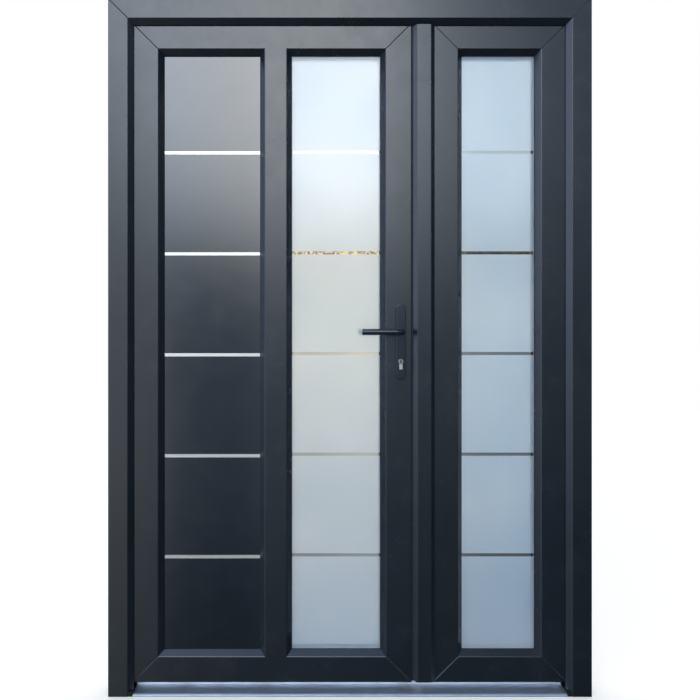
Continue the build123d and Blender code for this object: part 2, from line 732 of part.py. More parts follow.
def latch_bolt():
    """The sprung latch, with its slope towards outdoors so that it rides over the keep as the door shuts."""
    tip = MAIN_LEAF[1] + LATCH_REACH
    low, high = LOCK_MIDDLE - BOLT_HALF_THICKNESS, LOCK_MIDDLE + BOLT_HALF_THICKNESS
    back = FACEPLATE_BACK - 18
    foot = LATCH_Z - LATCH_HEIGHT / 2
    corners = [(back, low), (MAIN_LEAF[1] + 1, low), (tip, high - 3), (tip, high), (back, high)]
    return extrude(outline([(x, y, foot) for x, y in corners]), LATCH_HEIGHT, dir=(0, 0, 1))


def dead_bolt(z):
    """A square-ended bolt, drawn in flush with the faceplate."""
    low, high = LOCK_MIDDLE - BOLT_HALF_THICKNESS, LOCK_MIDDLE + BOLT_HALF_THICKNESS
    half = BOLT_HEIGHT / 2
    block = box(FACEPLATE_BACK - 30, MAIN_LEAF[1] - 0.5, low, high, z - half, z + half)
    return chamfer(block.faces().sort_by(Axis.X)[-1].edges(), 1)


CYLINDER_OUT = OUTER_PLATE_FACE - 3
CYLINDER_IN = INNER_PLATE_FACE + 3
CAM_HALF = 4.8


def lock_cylinder():
    """The body of the lock cylinder, bored for its plug and cut away in the middle for the cam."""
    y0, y1 = CYLINDER_OUT, CYLINDER_IN
    face = profile_outline(y1, PROFILE_RADIUS, PROFILE_HALF_LEG, PROFILE_DROP)
    body = extrude(face, y1 - y0, dir=(0, -1, 0))
    body -= rod((SPINDLE_X, y0 - 1, CYLINDER_Z), (0, 1, 0), PLUG_RADIUS, y1 - y0 + 2)
    gap = CAM_HALF + 0.4
    body -= box(
        SPINDLE_X - 20, SPINDLE_X + 20, LOCK_MIDDLE - gap, LOCK_MIDDLE + gap, CYLINDER_Z - 15, CYLINDER_Z + 20
    )
    return body


def cylinder_plug():
    """The plug that the key turns, with its keyway at both ends and its cam in the middle."""
    y0, y1 = CYLINDER_OUT - 0.5, CYLINDER_IN + 0.5
    body = rod((SPINDLE_X, y0, CYLINDER_Z), (0, 1, 0), PLUG_RADIUS - RUNNING_GAP, y1 - y0)
    low, high = LOCK_MIDDLE - CAM_HALF, LOCK_MIDDLE + CAM_HALF
    body += box(SPINDLE_X - 4, SPINDLE_X + 4, low, high, CYLINDER_Z, CYLINDER_Z + CAM_RADIUS)
    left, right = SPINDLE_X - KEYWAY_HALF, SPINDLE_X + KEYWAY_HALF
    for start, end in ((y0 - 1, y0 + KEYWAY_DEPTH), (y1 - KEYWAY_DEPTH, y1 + 1)):
        body -= box(left, right, start, end, CYLINDER_Z - 4.5, CYLINDER_Z + 4)
    return body


def handle_screws():
    """The two screws that draw the plates together through the leaf."""
    screws = []
    for z in SCREW_HEIGHTS:
        start, radius = LEAF_OUT - 3.5, SCREW_HEAD_RADIUS
        shank = rod((SPINDLE_X, start, z), (0, 1, 0), SCREW_RADIUS, INNER_PLATE_FACE - start)
        head = rod((SPINDLE_X, INNER_PLATE_FACE, z), (0, 1, 0), radius, 2)
        low, high = INNER_PLATE_FACE + 1, INNER_PLATE_FACE + 3
        slot = box(SPINDLE_X - radius, SPINDLE_X + radius, low, high, z - 0.6, z + 0.6)
        screws += (shank + head - slot).solids()
    return screws


def lock_keeps():
    """The plates on the cover strip's body that the latch and the bolts enter."""
    keeps = []
    spans = [(CASE_FOOT + 30, CASE_TOP + 8)] + [(z - 45, z + 45) for z in END_BOLT_HEIGHTS]
    for low, high in spans:
        keep = box(COVER_BODY - KEEP_THICKNESS, COVER_BODY, GROOVE_LOW - 2, GROOVE_HIGH + 4, low, high)
        keep -= bolt_windows(COVER_BODY - 10, COVER_BODY + 1, 1.0)
        keep -= end_bolt_windows(COVER_BODY - 10, COVER_BODY + 1, 1.0)
        keeps += keep.solids()
    return keeps


def shoot_bolt(top):
    """A round bolt in the cover strip's body that holds the side leaf to the head or the sill."""
    _, _, z0, z1 = SIDE_LEAF
    start = z1 + SHOOT_REACH_TOP - SHOOT_LENGTH if top else z0 - SHOOT_REACH_FOOT
    bolt = rod((SHOOT_X, SHOOT_Y, start), (0, 0, 1), SHOOT_RADIUS, SHOOT_LENGTH)
    end = bolt.faces().sort_by(Axis.Z)[-1 if top else 0]
    return chamfer(end.edges(), 1)


def bolt_keeps():
    """The bored plates in the head and on the sill that the shoot bolts enter."""
    keeps = []
    head = FRAME_HEIGHT - FRAME_REBATE
    for low, high in ((head - 3, head), (SILL_TOP, SILL_TOP + 2)):
        keep = box(SHOOT_X - 15, SHOOT_X + 15, SHOOT_Y - 6, FRAME_IN - 0.5, low, high)
        keep -= rod((SHOOT_X, SHOOT_Y, low - 1), (0, 0, 1), SHOOT_RADIUS + 0.5, 6)
        keeps += keep.solids()
    return keeps


def shoot_holes():
    """Holes behind the keeps for the shoot bolts' ends."""
    head = FRAME_HEIGHT - FRAME_REBATE
    radius = SHOOT_RADIUS + 0.5
    above = rod((SHOOT_X, SHOOT_Y, head - 1), (0, 0, 1), radius, 20)
    below = rod((SHOOT_X, SHOOT_Y, SILL_TOP + 1), (0, 0, -1), radius, 22)
    return above, below


def hinge_parts(sign):
    """The plates and pins of one leaf's hinges: those on the frame, those on the leaf, and the pins."""
    plates, leaves, pins = [], [], []
    edge = FRAME_WIDTH / 2
    x = sign * HINGE_X
    half = PIVOT_KNUCKLE / 2
    wing_in = sign * (HINGE_X - WING_EDGE)
    wing_front, strap_front = FRAME_IN + HINGE_PLATE, LEAF_IN + HINGE_PLATE
    for z in HINGE_HEIGHTS:
        top, foot = z + half + KNUCKLE, z - half - KNUCKLE
        wing = box(*sorted((sign * (edge - WING_EDGE), wing_in)), FRAME_IN, wing_front, foot, top)
        bore = rod((x, HINGE_Y, foot - 1), (0, 0, 1), PIN_RADIUS, top - foot + 2)
        for low, high in ((foot, z - half - KNUCKLE_GAP), (z + half + KNUCKLE_GAP, top)):
            arm = box(*sorted((sign * (HINGE_X + 6), wing_in)), wing_front, HINGE_Y, low, high)
            wing += arm + rod((x, HINGE_Y, low), (0, 0, 1), BARREL_RADIUS, high - low)
        plates += (wing - bore).solids()
        low, high = z - half, z + half
        strap_end = sign * (edge - FRAME_REBATE - STRAP_REACH)
        strap_start = sign * (HINGE_X - BARREL_RADIUS - 2)
        strap = box(*sorted((strap_start, strap_end)), LEAF_IN, strap_front, low, high)
        bridge = box(*sorted((x, sign * (HINGE_X - BRIDGE_REACH))), strap_front, strap_front + 4, low, high)
        knuckle = rod((x, HINGE_Y, low), (0, 0, 1), BARREL_RADIUS, high - low)
        leaf = strap + bridge + knuckle
        leaf -= rod((x, HINGE_Y, low - 1), (0, 0, 1), PIN_RADIUS + RUNNING_GAP, high - low + 2)
        leaves += leaf.solids()
        pin = rod((x, HINGE_Y, foot), (0, 0, 1), PIN_RADIUS, top - foot)
        for cap_z in (foot - 4, top):
            pin += rod((x, HINGE_Y, cap_z), (0, 0, 1), BARREL_RADIUS - 0.5, 4)
        pins += pin.solids()
    return plates, leaves, pins


def group(*lists):
    """Several solids kept apart in one node."""
    solids = []
    for item in lists:
        solids += item if isinstance(item, list) else item.solids()
    return Compound(children=solids)


def frame_nodes():
    bars = frame_bars()
    steels = {side: tube(FRAME_RECT, side, FRAME_STEEL, STEEL_WALL, 50.0) for side in bars}
    above, below = shoot_holes()
    for hole in anchor_holes():
        bars = {side: block - hole for side, block in bars.items()}
        steels = {side: block - hole for side, block in steels.items()}
    bars["top"] -= above
    left_plates, _, left_pins = hinge_parts(-1)
    right_plates, _, right_pins = hinge_parts(1)
    return {
        "left_jamb": bars["left"],
        "right_jamb": bars["right"],
        "head": bars["top"],
        "frame_steels": group(*steels.values()),
        "frame_lip_gasket": lip_gasket(),
        "threshold": threshold() - below,
        "threshold_thermal_break": thermal_break() - below,
        "threshold_end_blocks": end_blocks(),
        "shoot_bolt_keeps": group(bolt_keeps()),
        "frame_hinge_plates": group(left_plates, right_plates),
        "hinge_pins": group(left_pins, right_pins),
    }


def main_leaf_nodes():
    bars = leaf_bars(MAIN_LEAF)
    steels = leaf_steels(MAIN_LEAF)
    for pocket in lock_pockets():
        bars["right"] -= pocket
        steels["right"] -= pocket
    rects = openings()
    panel, glass = rects["panel"], rects["glass"]
    _, leaf_plates, _ = hinge_parts(-1)
    return {
        "main_hinge_stile": bars["left"],
        "main_lock_stile": bars["right"],
        "main_top_rail": bars["top"],
        "main_bottom_rail": bars["bottom"],
        "main_mullion": mullion(),
        "main_leaf_steels": group(*steels.values()),
        "panel_skins": panel_skins(panel),
        "panel_core": pane(panel, PANE_OUT + SKIN, PANE_IN - SKIN),
        "panel_strips": panel_strips(panel),
        "main_glass_panes": glass_panes(glass),
        "main_glass_spacer": spacer(glass),
        "main_glass_frosting": frosted_fields(glass),
        "main_glazing_beads": group(beads(panel), beads(glass)),
        "main_leaf_gaskets": group(
            glazing_gasket(panel), glazing_gasket(glass), flange_gasket(MAIN_LEAF)
        ),
        "main_setting_blocks": group(setting_blocks(panel), setting_blocks(glass)),
        "main_bottom_brush": bottom_seal(MAIN_LEAF),
        "main_hinge_plates": group(leaf_plates),
        "lock_cases": group(lock_case(), end_lock_cases()),
        "lock_faceplate": faceplate(),
        "lock_cylinder": lock_cylinder(),
        "outer_backplate": backplate(OUTER_PLATE_FACE, LEAF_OUT),
        "inner_backplate": backplate(LEAF_IN, INNER_PLATE_FACE),
        "handle_screws": group(handle_screws()),
    }


def moving_lock_nodes():
    return {
        "outer_lever": lever(-1, OUTER_PLATE_FACE),
        "inner_lever": lever(1, INNER_PLATE_FACE),
        "lever_spindle": spindle(),
        "latch_follower": follower(),
        "latch_bolt": latch_bolt(),
        "cylinder_plug": cylinder_plug(),
        "dead_bolt": dead_bolt(BOLT_Z),
        "end_lock_bolts": group(*[dead_bolt(z) for z in END_BOLT_HEIGHTS]),
    }


def side_leaf_nodes():
    bars = leaf_bars(SIDE_LEAF)
    glass = openings()["side"]
    strip = cover_strip()
    for window in bolt_windows(COVER_BODY - 1, COVER_BODY + 12, 1.0) + end_bolt_windows(
        COVER_BODY - 1, COVER_BODY + 12, 1.0
    ):
        strip -= window
    _, leaf_plates, _ = hinge_parts(1)
    return {
        "side_meeting_stile": bars["left"],
        "side_hinge_stile": bars["right"],
        "side_top_rail": bars["top"],
        "side_bottom_rail": bars["bottom"],
        "side_leaf_steels": group(*leaf_steels(SIDE_LEAF).values()),
        "side_glass_panes": glass_panes(glass),
        "side_glass_spacer": spacer(glass),
        "side_glass_frosting": frosted_fields(glass),
        "side_glazing_beads": group(beads(glass)),
        "side_leaf_gaskets": group(glazing_gasket(glass), flange_gasket(SIDE_LEAF), cover_gasket()),
        "side_setting_blocks": group(setting_blocks(glass)),
        "side_bottom_brush": bottom_seal(SIDE_LEAF),
        "side_hinge_plates": group(leaf_plates),
        "cover_strip": strip,
        "cover_strip_caps": group(cover_caps()),
        "lock_keeps": group(lock_keeps()),
        "top_shoot_bolt": shoot_bolt(True),
        "bottom_shoot_bolt": shoot_bolt(False),
    }


def main():
    os.makedirs("parts", exist_ok=True)
    nodes = {}
    for build in (frame_nodes, main_leaf_nodes, moving_lock_nodes, side_leaf_nodes):
        nodes.update(build())
    for name, shape in nodes.items():
        export_step(shape, f"parts/{name}.step")


main()
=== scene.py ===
import json
import math

import bpy
from bpy.props import FloatProperty, FloatVectorProperty, IntProperty, PointerProperty
from mathutils import Matrix, Vector


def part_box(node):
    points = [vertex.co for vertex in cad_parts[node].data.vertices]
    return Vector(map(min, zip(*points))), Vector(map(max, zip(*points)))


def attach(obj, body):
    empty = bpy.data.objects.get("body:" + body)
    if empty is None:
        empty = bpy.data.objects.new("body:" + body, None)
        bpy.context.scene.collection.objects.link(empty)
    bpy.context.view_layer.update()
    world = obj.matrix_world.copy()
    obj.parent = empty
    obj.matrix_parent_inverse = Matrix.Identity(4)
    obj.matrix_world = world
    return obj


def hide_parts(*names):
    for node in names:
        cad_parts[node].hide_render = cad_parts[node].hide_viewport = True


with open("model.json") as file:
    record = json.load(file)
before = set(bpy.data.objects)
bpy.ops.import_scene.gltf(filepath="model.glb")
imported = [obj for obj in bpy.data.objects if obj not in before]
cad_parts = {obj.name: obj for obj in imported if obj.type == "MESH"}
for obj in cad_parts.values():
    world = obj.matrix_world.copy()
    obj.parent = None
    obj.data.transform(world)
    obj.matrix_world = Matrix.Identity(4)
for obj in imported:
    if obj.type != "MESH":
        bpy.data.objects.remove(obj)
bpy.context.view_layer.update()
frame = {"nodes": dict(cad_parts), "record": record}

bl_info = {
    "name": "Entrance door finishes",
    "version": (1, 0, 0),
    "blender": (4, 5, 0),
    "location": "View3D > Sidebar > Door",
    "description": "Finishes, small hardware, floor and light for a two-leaf entrance door",
    "category": "Object",
}


def middle(box):
    return (box[0] + box[1]) / 2


# Metres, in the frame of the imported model: X to the right seen from outdoors, Y indoors, Z up.
SLOTS = {part["node"]: part["material_slot"] for part in frame["record"]["subparts"]}
JAMB_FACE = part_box("left_jamb")[0].y
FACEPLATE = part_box("lock_faceplate")
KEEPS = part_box("lock_keeps")
OUTER_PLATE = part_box("outer_backplate")
INNER_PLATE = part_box("inner_backplate")
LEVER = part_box("outer_lever")
SPINDLE = middle(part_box("lever_spindle"))
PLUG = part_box("cylinder_plug")
PLUG_AXIS = 1.038
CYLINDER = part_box("lock_cylinder")
HINGE_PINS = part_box("hinge_pins")
HINGE_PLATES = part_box("frame_hinge_plates")

# Heights, places and steps of the screws
HINGE_HEIGHTS = (0.23, 1.065, 1.9)
FACEPLATE_SCREWS = (0.11, 0.27, 0.35, 0.49, 0.68, 0.87, 1.01, 1.195, 1.38, 1.56, 1.69, 1.83, 1.93, 2.02)
KEEP_SCREWS = (0.38, 0.46, 1.04, 1.176, 1.72, 1.8)
WING_FACE = 0.039
WING_INSET = 0.012
WING_STEPS = (-0.04, -0.014, 0.014, 0.04)
STRAP_FACE = 0.059
STRAP_PLACES = (0.657, 0.681)
STRAP_STEPS = (-0.014, 0.014)

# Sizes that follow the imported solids, which the small pieces must fit
NECK_RADIUS = 0.0099
PIN_HEAD_RADIUS = 0.008
GRUB_RADIUS = 0.0022
GRUB_DEPTH = 0.0016
GRUB_SOCKET = 0.0009
GRUB_OUT = 0.009
GRUB_SINK = 0.0003
TRIM_HEIGHT = 0.0006
HOLDER_HEIGHT = 0.004
BRISTLE_ROOT = 0.001
BRISTLE_TIP_RADIUS = 0.00028
BRISTLE_ROOT_RADIUS = 0.0004

# Brightness of what satin surfaces mirror outdoors, by the height or the sideways lean of its direction
UPPER_HEIGHTS = [
    (-0.5, 0.0), (-0.07, 0.03), (0.05, 0.2), (0.12, 0.9), (0.19, 2.1), (0.25, 2.8), (0.33, 3.2),
    (0.42, 3.5), (0.5, 2.9), (0.6, 1.8), (0.8, 1.9), (1.0, 1.4),
]
UPPER_ACROSS = [
    (-1.0, 0.1), (-0.5, 0.12), (-0.37, 0.4), (-0.28, 0.78), (-0.22, 0.94), (-0.1, 0.98), (0.06, 1.2),
    (0.12, 1.12), (0.15, 0.54), (0.2, 0.3), (0.32, 0.12), (0.45, 0.02), (1.0, 0.0),
]
LOWER_HEIGHTS = [
    (-1.0, 0.22), (-0.6, 0.22), (-0.39, 0.36), (-0.34, 0.46), (-0.21, 0.68), (-0.07, 0.68), (0.1, 0.56),
    (0.6, 0.6), (0.9, 0.1),
]
SIDES_ACROSS = [
    (-1.0, 1.6), (-0.9, 1.2), (-0.72, 1.1), (-0.55, 1.3), (-0.38, 0.0), (0.45, 0.0), (0.6, 0.5),
    (0.75, 0.6), (0.88, 0.1), (1.0, 0.02),
]
SIDES_HEIGHTS = [(-0.45, 0.12), (-0.2, 0.3), (0.0, 0.6), (0.2, 0.9), (0.5, 1.0), (0.9, 0.3)]
# Past each sideways lean to the left, the bright upper part stands higher by this slope
UPPER_SLOPES = ((-0.05, 0.2), (-0.25, 2.0))
# Brightness of the indoors seen through clear glass
INDOOR_HEIGHTS = [
    (-1.0, 0.1), (-0.47, 0.17), (-0.33, 0.25), (-0.185, 0.46), (-0.03, 0.62), (0.1, 0.72), (0.18, 0.85),
    (0.267, 1.25), (0.33, 0.9), (1.0, 0.8),
]
INDOOR_ACROSS = [
    (-1.0, 0.9), (0.0, 0.9), (0.08, 1.15), (0.13, 0.9), (0.24, 0.34), (0.34, 0.26), (1.0, 0.4),
]

# Fades of the surroundings: the two directions between which a value fades, then its values if not 0 and 1
CORNER_FADE = (0.54, 0.86, 1.0, 0.35)
LOWER_REACH = (-0.34, -0.05, 0.2, 0.34)
LOWER_START = -0.27
LEFT_FADE = (-0.85, -0.5)
DOOR_SHADE = (0.05, 0.1, 0.3, 1.0)
DOOR_SHADE_MIDDLE = -0.15
OFF_CENTRE = (0.08, 0.26)
CENTRE = -0.03
ZENITH = (0.6, 0.9)
LOWER_TURN = (-0.28, -0.14)
FRONT_FADE = (-0.3, 0.9)
INDOOR_FADE = (-0.5, 0.7)
EVENER_HIGH_UP = (0.0, 0.25, 0.0, 0.25)
WARM_FADE = (-0.35, -0.05)
NEUTRAL_FADE = (0.12, 0.28)
NARROW_LEAF = (0.12, 0.25)
GOLD_DIMS = (0.12, 0.26, 1.0, 0.1)
BAND_FOOT = (0.085, 0.1)
BAND_TOP = (0.14, 0.155, 1.0, 0.0)
BLOOM_FOOT = (-0.45, -0.2)
BLOOM_TOP = (0.06, 0.25)
BLOOM_NARROW = (-0.45, -0.15)
BLOOM_ACROSS = (0.12, 0.22)
# How far indoors a mirrored ray must point to show the indoors
MIRRORED_INDOORS = 0.3
# A ray through the frosting has passed more surfaces than one through a clear band
FROSTED_DEPTH = 4.5

# Tints of the surroundings
WHITE = (1.0, 1.0, 1.0)
FRONT_TINTS = ((0.42, 0.46, 0.5), (0.5, 0.54, 0.58))
INDOOR_TINTS = ((0.35, 0.36, 0.38), (1.5, 1.5, 1.5))
MIRROR_IN_GLASS = (0.45, 0.45, 0.47)
LIGHT_IN_GLASS = (1.4, 1.9, 2.6)
UPPER_TINTS = ((1.0, 1.03, 1.05), (0.86, 1.02, 1.28))
ZENITH_TINT = (0.75, 1.0, 1.5)
LOWER_TINTS = ((1.0, 1.0, 0.99), (0.78, 1.0, 1.25))
SIDES_TINT = (0.8, 1.0, 1.4)
FOOT_TINT = (0.93, 1.0, 1.03)
WARM_TINT = (1.08, 1.0, 0.84)
NARROW_TINT = (0.88, 1.0, 1.1)
GOLD_TINTS = ((0.1, 0.08, 0.04), (1.15, 0.88, 0.42))
BLOOM_TINTS = ((0.15, 0.12, 0.1), (0.34, 0.25, 0.1), (-0.36, -0.3, -0.2))
NARROW_BLOOM_TINTS = ((0.0, 0.0, 0.02), (0.27, 0.3, 0.3))


def colour_property(name, description, value):
    return FloatVectorProperty(
        name=name, description=description, default=value, size=3, min=0.0, max=1.0, subtype="COLOR"
    )


def share_property(name, description, value):
    return FloatProperty(
        name=name, description=description, default=value, min=0.0, max=1.0, subtype="FACTOR"
    )


def length_property(name, description, value):
    return FloatProperty(name=name, description=description, default=value, min=0.0, unit="LENGTH")


def place_property(name, description, value):
    return FloatVectorProperty(
        name=name, description=description, default=value, size=len(value), unit="LENGTH"
    )


class DoorFinishes(bpy.types.PropertyGroup):
    """Colours and roughness of the door's surfaces."""

    profile: colour_property("Profile", "Anthracite film on the frame and leaves", (0.009, 0.0155, 0.0225))
    profile_roughness: share_property("Profile roughness", "Roughness of the profile film", 0.25)
    panel: colour_property("Panel", "Skin of the opaque panel", (0.002, 0.008, 0.018))
    panel_roughness: share_property("Panel roughness", "Roughness of the panel skin", 0.16)
    dust: colour_property("Dust", "Pale dust on dark surfaces", (0.16, 0.16, 0.15))
    frost: colour_property("Frost", "Sandblasted glass", (0.93, 0.94, 0.95))
    glass: colour_property("Glass", "Clear float glass", (0.975, 0.99, 0.985))
    strip: colour_property("Strip", "Brushed stainless strips", (0.98, 0.95, 0.9))
    sill: colour_property("Sill", "Anodised threshold", (0.8, 0.87, 0.97))
    steel: colour_property("Steel", "Zinc plated lock parts", (0.58, 0.59, 0.6))
    zinc: colour_property("Zinc", "Galvanised tubes", (0.5, 0.52, 0.54))
    nickel: colour_property("Nickel", "Lock cylinder and bolts", (0.8, 0.76, 0.66))
    handle: colour_property("Handle", "Powder coat of the handle", (0.01, 0.019, 0.03))
    hinge: colour_property("Hinge", "Powder coat of the hinges", (0.012, 0.015, 0.019))
    rubber: colour_property("Rubber", "Seals", (0.006, 0.007, 0.009))
    moulded: colour_property("Moulded plastic", "Blocks and caps", (0.011, 0.012, 0.013))
    foam: colour_property("Foam", "Core of the panel", (0.74, 0.76, 0.8))
    pile: colour_property("Pile", "Brush under the leaves", (0.02, 0.02, 0.021))


class DoorHardware(bpy.types.PropertyGroup):
    """Sizes of the small pieces."""

    screw_radius: length_property("Screw head radius", "Countersunk screws", 0.0038)
    screw_rise: length_property("Screw head rise", "How far a screw head stands proud", 0.0004)
    collar_radius: length_property("Collar radius", "Ring where a lever meets its plate", 0.0128)
    collar_height: length_property("Collar height", "Height of that ring", 0.0032)
    rim_inner: length_property("Plug rim bore", "Inner radius of the bright rim on the plug", 0.0048)
    rim_outer: length_property("Plug rim radius", "Outer radius of the bright rim on the plug", 0.0062)
    # Painted shade: the key guide is a dark disc round the keyhole that stands in for the shade inside the
    # keyway.
    keyway_shade_inner: length_property("Key guide bore", "Inner radius of the dark disc round the keyhole", 0.0015)
    keyway_shade_outer: length_property("Key guide radius", "Outer radius of that disc", 0.0045)
    # Painted shade: the rose is a dark ring that stands in for the shade of the plate's recess around the
    # plug.
    recess_shade_inner: length_property("Rose bore", "Inner radius of the dark ring around the plug", 0.0067)
    recess_shade_outer: length_property("Rose radius", "Outer radius of the dark ring around the plug", 0.0084)
    cap_radius: length_property("Hinge cap radius", "Caps on the hinge pins", 0.0064)
    cap_height: length_property("Hinge cap height", "Caps on the hinge pins", 0.0022)
    bristle_pitch: length_property("Bristle pitch", "Distance between bristles", 0.0014)
    bristle_rows: IntProperty(
        name="Bristle rows", description="Rows of bristles in a brush", default=4, min=1, subtype="UNSIGNED"
    )


class DoorStage(bpy.types.PropertyGroup):
    """Floor, light and camera."""

    floor_half: length_property("Floor half size", "Half the side of the floor", 9.0)
    floor: colour_property("Floor", "Pale floor", (0.93, 0.93, 0.93))
    lamp_place: place_property("Lamp place", "Where the soft lamp hangs", (-2.5, -4.0, 4.5))
    lamp_size: length_property("Lamp size", "Side of the soft lamp", 4.0)
    lamp_power: FloatProperty(
        name="Lamp power", description="Power of the soft lamp in watts", default=60.0, min=0.0
    )
    camera_place: place_property("Camera place", "Where the camera stands", (-0.124, -2.035, 1.127))
    lens: FloatProperty(name="Lens", description="Focal length in millimetres", default=33.22, min=1.0)
    picture_middle: place_property(
        "Picture middle", "Point of the frame's front at the picture's middle", (0.0, 1.0743)
    )


def finishes():
    return bpy.context.scene.door_finishes


def hardware():
    return bpy.context.scene.door_hardware


def stage():
    return bpy.context.scene.door_stage


# Shader node helpers


def join(tree, source, target):
    tree.links.new(source, target)


def node(tree, kind, **settings):
    made = tree.nodes.new(kind)
    for name, value in settings.items():
        setattr(made, name, value)
    return made


def math_node(tree, operation, first, second=None, clamp=False):
    made = node(tree, "ShaderNodeMath", operation=operation, use_clamp=clamp)
    for socket, value in zip(made.inputs, (first, second)):
        if value is None:
            continue
        if isinstance(value, (int, float)):
            socket.default_value = value
        else:
            join(tree, value, socket)
    return made.outputs[0]


def times(tree, first, second):
    return math_node(tree, "MULTIPLY", first, second)


def plus(tree, first, second):
    return math_node(tree, "ADD", first, second)


def minus(tree, first, second):
    return math_node(tree, "SUBTRACT", first, second)


def fade(tree, value, low, high, start=0.0, end=1.0, smooth=True):
    """Run from start to end while a value runs from low to high."""
    made = node(tree, "ShaderNodeMapRange", interpolation_type="SMOOTHSTEP" if smooth else "LINEAR")
    join(tree, value, made.inputs["Value"])
    for name, number in (("From Min", low), ("From Max", high), ("To Min", start), ("To Max", end)):
        made.inputs[name].default_value = number
    return made.outputs["Result"]


def mix_colour(tree, share, first, second, blend="MIX"):
    made = node(tree, "ShaderNodeMix", data_type="RGBA", blend_type=blend)
    for socket, value in ((made.inputs[0], share), (made.inputs[6], first), (made.inputs[7], second)):
        if isinstance(value, (int, float)):
            socket.default_value = value
        elif isinstance(value, (tuple, list)):
            socket.default_value = (*value, 1.0)
        else:
            join(tree, value, socket)
    return made.outputs[2]


def tinted(tree, first, second):
    return mix_colour(tree, 1.0, first, second, "MULTIPLY")


def added(tree, first, second):
    return mix_colour(tree, 1.0, first, second, "ADD")


def grey(tree, value):
    made = node(tree, "ShaderNodeCombineColor")
    for socket in made.inputs:
        join(tree, value, socket)
    return made.outputs[0]


def curve(tree, value, stops, smooth=False):
    """A curve through (value, result) pairs, level beyond its ends, with rounded corners if smooth."""
    low, high = stops[0][0], stops[-1][0]
    top = max(result for _, result in stops)
    ramp = node(tree, "ShaderNodeValToRGB")
    ramp.color_ramp.interpolation = "B_SPLINE" if smooth else "LINEAR"
    points = ramp.color_ramp.elements
    while len(points) < len(stops):
        points.new(0.5)
    for point, (place, result) in zip(points, stops):
        point.position = (place - low) / (high - low)
        point.color = (result / top, result / top, result / top, 1.0)
    join(tree, fade(tree, value, low, high, smooth=False), ramp.inputs["Fac"])
    return times(tree, ramp.outputs["Color"], top)


def noise(tree, vector, scale, detail=2.0, roughness=0.5):
    made = node(tree, "ShaderNodeTexNoise")
    made.inputs["Detail"].default_value = detail
    made.inputs["Roughness"].default_value = roughness
    if isinstance(scale, (int, float)):
        made.inputs["Scale"].default_value = scale
    else:
        join(tree, scale, made.inputs["Scale"])
    join(tree, vector, made.inputs["Vector"])
    return made.outputs["Fac"]


def cells(tree, vector, scale):
    made = node(tree, "ShaderNodeTexVoronoi", feature="F1")
    made.inputs["Scale"].default_value = scale
    join(tree, vector, made.inputs["Vector"])
    return made.outputs


def around_half(tree, value, range_width):
    """A value between 0 and 1 as a change up or down within a range of this width."""
    return times(tree, minus(tree, value, 0.5), range_width)


# Shared finishes: node groups that put out a colour, a roughness and a height

GREY = (0.5, 0.5, 0.5, 1.0)


def finish_group(name, inputs):
    """An empty node group with its named sockets, and its two end nodes."""
    tree = bpy.data.node_groups.new(name, "ShaderNodeTree")
    for label, kind, value in [("Vector", "Vector", None), ("Tone", "Color", GREY), *inputs]:
        socket = tree.interface.new_socket(label, in_out="INPUT", socket_type=f"NodeSocket{kind}")
        if value is not None:
            socket.default_value = value
    for label, kind in (("Color", "Color"), ("Roughness", "Float"), ("Height", "Float")):
        tree.interface.new_socket(label, in_out="OUTPUT", socket_type=f"NodeSocket{kind}")
    return tree, tree.nodes.new("NodeGroupInput").outputs, tree.nodes.new("NodeGroupOutput").inputs


def satin_skin_group():
    """Film, powder coat or moulded skin: cloudy tone, uneven gloss, fine grain and a few dust specks."""
    tree, given, out = finish_group(
        "satin_skin",
        [
            ("Dust", "Color", GREY),
            ("Roughness", "Float", 0.35),
            ("Grain Scale", "Float", 900.0),
            ("Cloud Scale", "Float", 3.0),
            ("Dust Amount", "Float", 0.2),
        ],
    )
    cloud = noise(tree, given["Vector"], given["Cloud Scale"], detail=3.0)
    grain = noise(tree, given["Vector"], given["Grain Scale"], detail=1.0)
    smear = noise(tree, given["Vector"], 14.0, detail=4.0, roughness=0.6)
    specks = cells(tree, given["Vector"], 120.0)
    spot = fade(tree, specks["Distance"], 0.05, 0.12, 1.0, 0.0)
    sparse = fade(tree, specks["Color"], 0.8, 0.86)
    dust = times(tree, times(tree, spot, sparse), given["Dust Amount"])
    veil = fade(tree, smear, 0.45, 0.8, 0.0, 0.12)
    dust = math_node(tree, "ADD", dust, times(tree, veil, given["Dust Amount"]), clamp=True)
    light = tinted(tree, given["Tone"], (1.16, 1.16, 1.18))
    dark = tinted(tree, given["Tone"], (0.86, 0.86, 0.85))
    tone = mix_colour(tree, fade(tree, cloud, 0.3, 0.7), dark, light)
    join(tree, mix_colour(tree, dust, tone, given["Dust"]), out["Color"])
    uneven = around_half(tree, smear, 0.14)
    matt = times(tree, dust, 0.5)
    join(tree, plus(tree, given["Roughness"], plus(tree, uneven, matt)), out["Roughness"])
    join(tree, grain, out["Height"])
    return tree


def brushed_metal_group():
    """Metal with fine lines along one direction, set by how the vector is stretched."""
    tree, given, out = finish_group(
        "brushed_metal",
        [("Stretch", "Vector", (4.0, 900.0, 900.0)), ("Roughness", "Float", 0.3), ("Stain", "Float", 0.2)],
    )
    stretched = node(tree, "ShaderNodeVectorMath", operation="MULTIPLY")
    join(tree, given["Vector"], stretched.inputs[0])
    join(tree, given["Stretch"], stretched.inputs[1])
    lines = noise(tree, stretched.outputs[0], 1.0, detail=3.0, roughness=0.7)
    stain = noise(tree, given["Vector"], 9.0, detail=4.0, roughness=0.6)
    worn = times(tree, fade(tree, stain, 0.45, 0.75), given["Stain"])
    bright = mix_colour(tree, fade(tree, lines, 0.25, 0.75), (0.8, 0.8, 0.8), (1.08, 1.08, 1.08))
    tone = tinted(tree, given["Tone"], bright)
    join(tree, mix_colour(tree, worn, tone, (0.3, 0.29, 0.27)), out["Color"])
    rough = plus(tree, given["Roughness"], around_half(tree, lines, 0.3))
    join(tree, plus(tree, rough, times(tree, worn, 0.3)), out["Roughness"])
    join(tree, lines, out["Height"])
    return tree


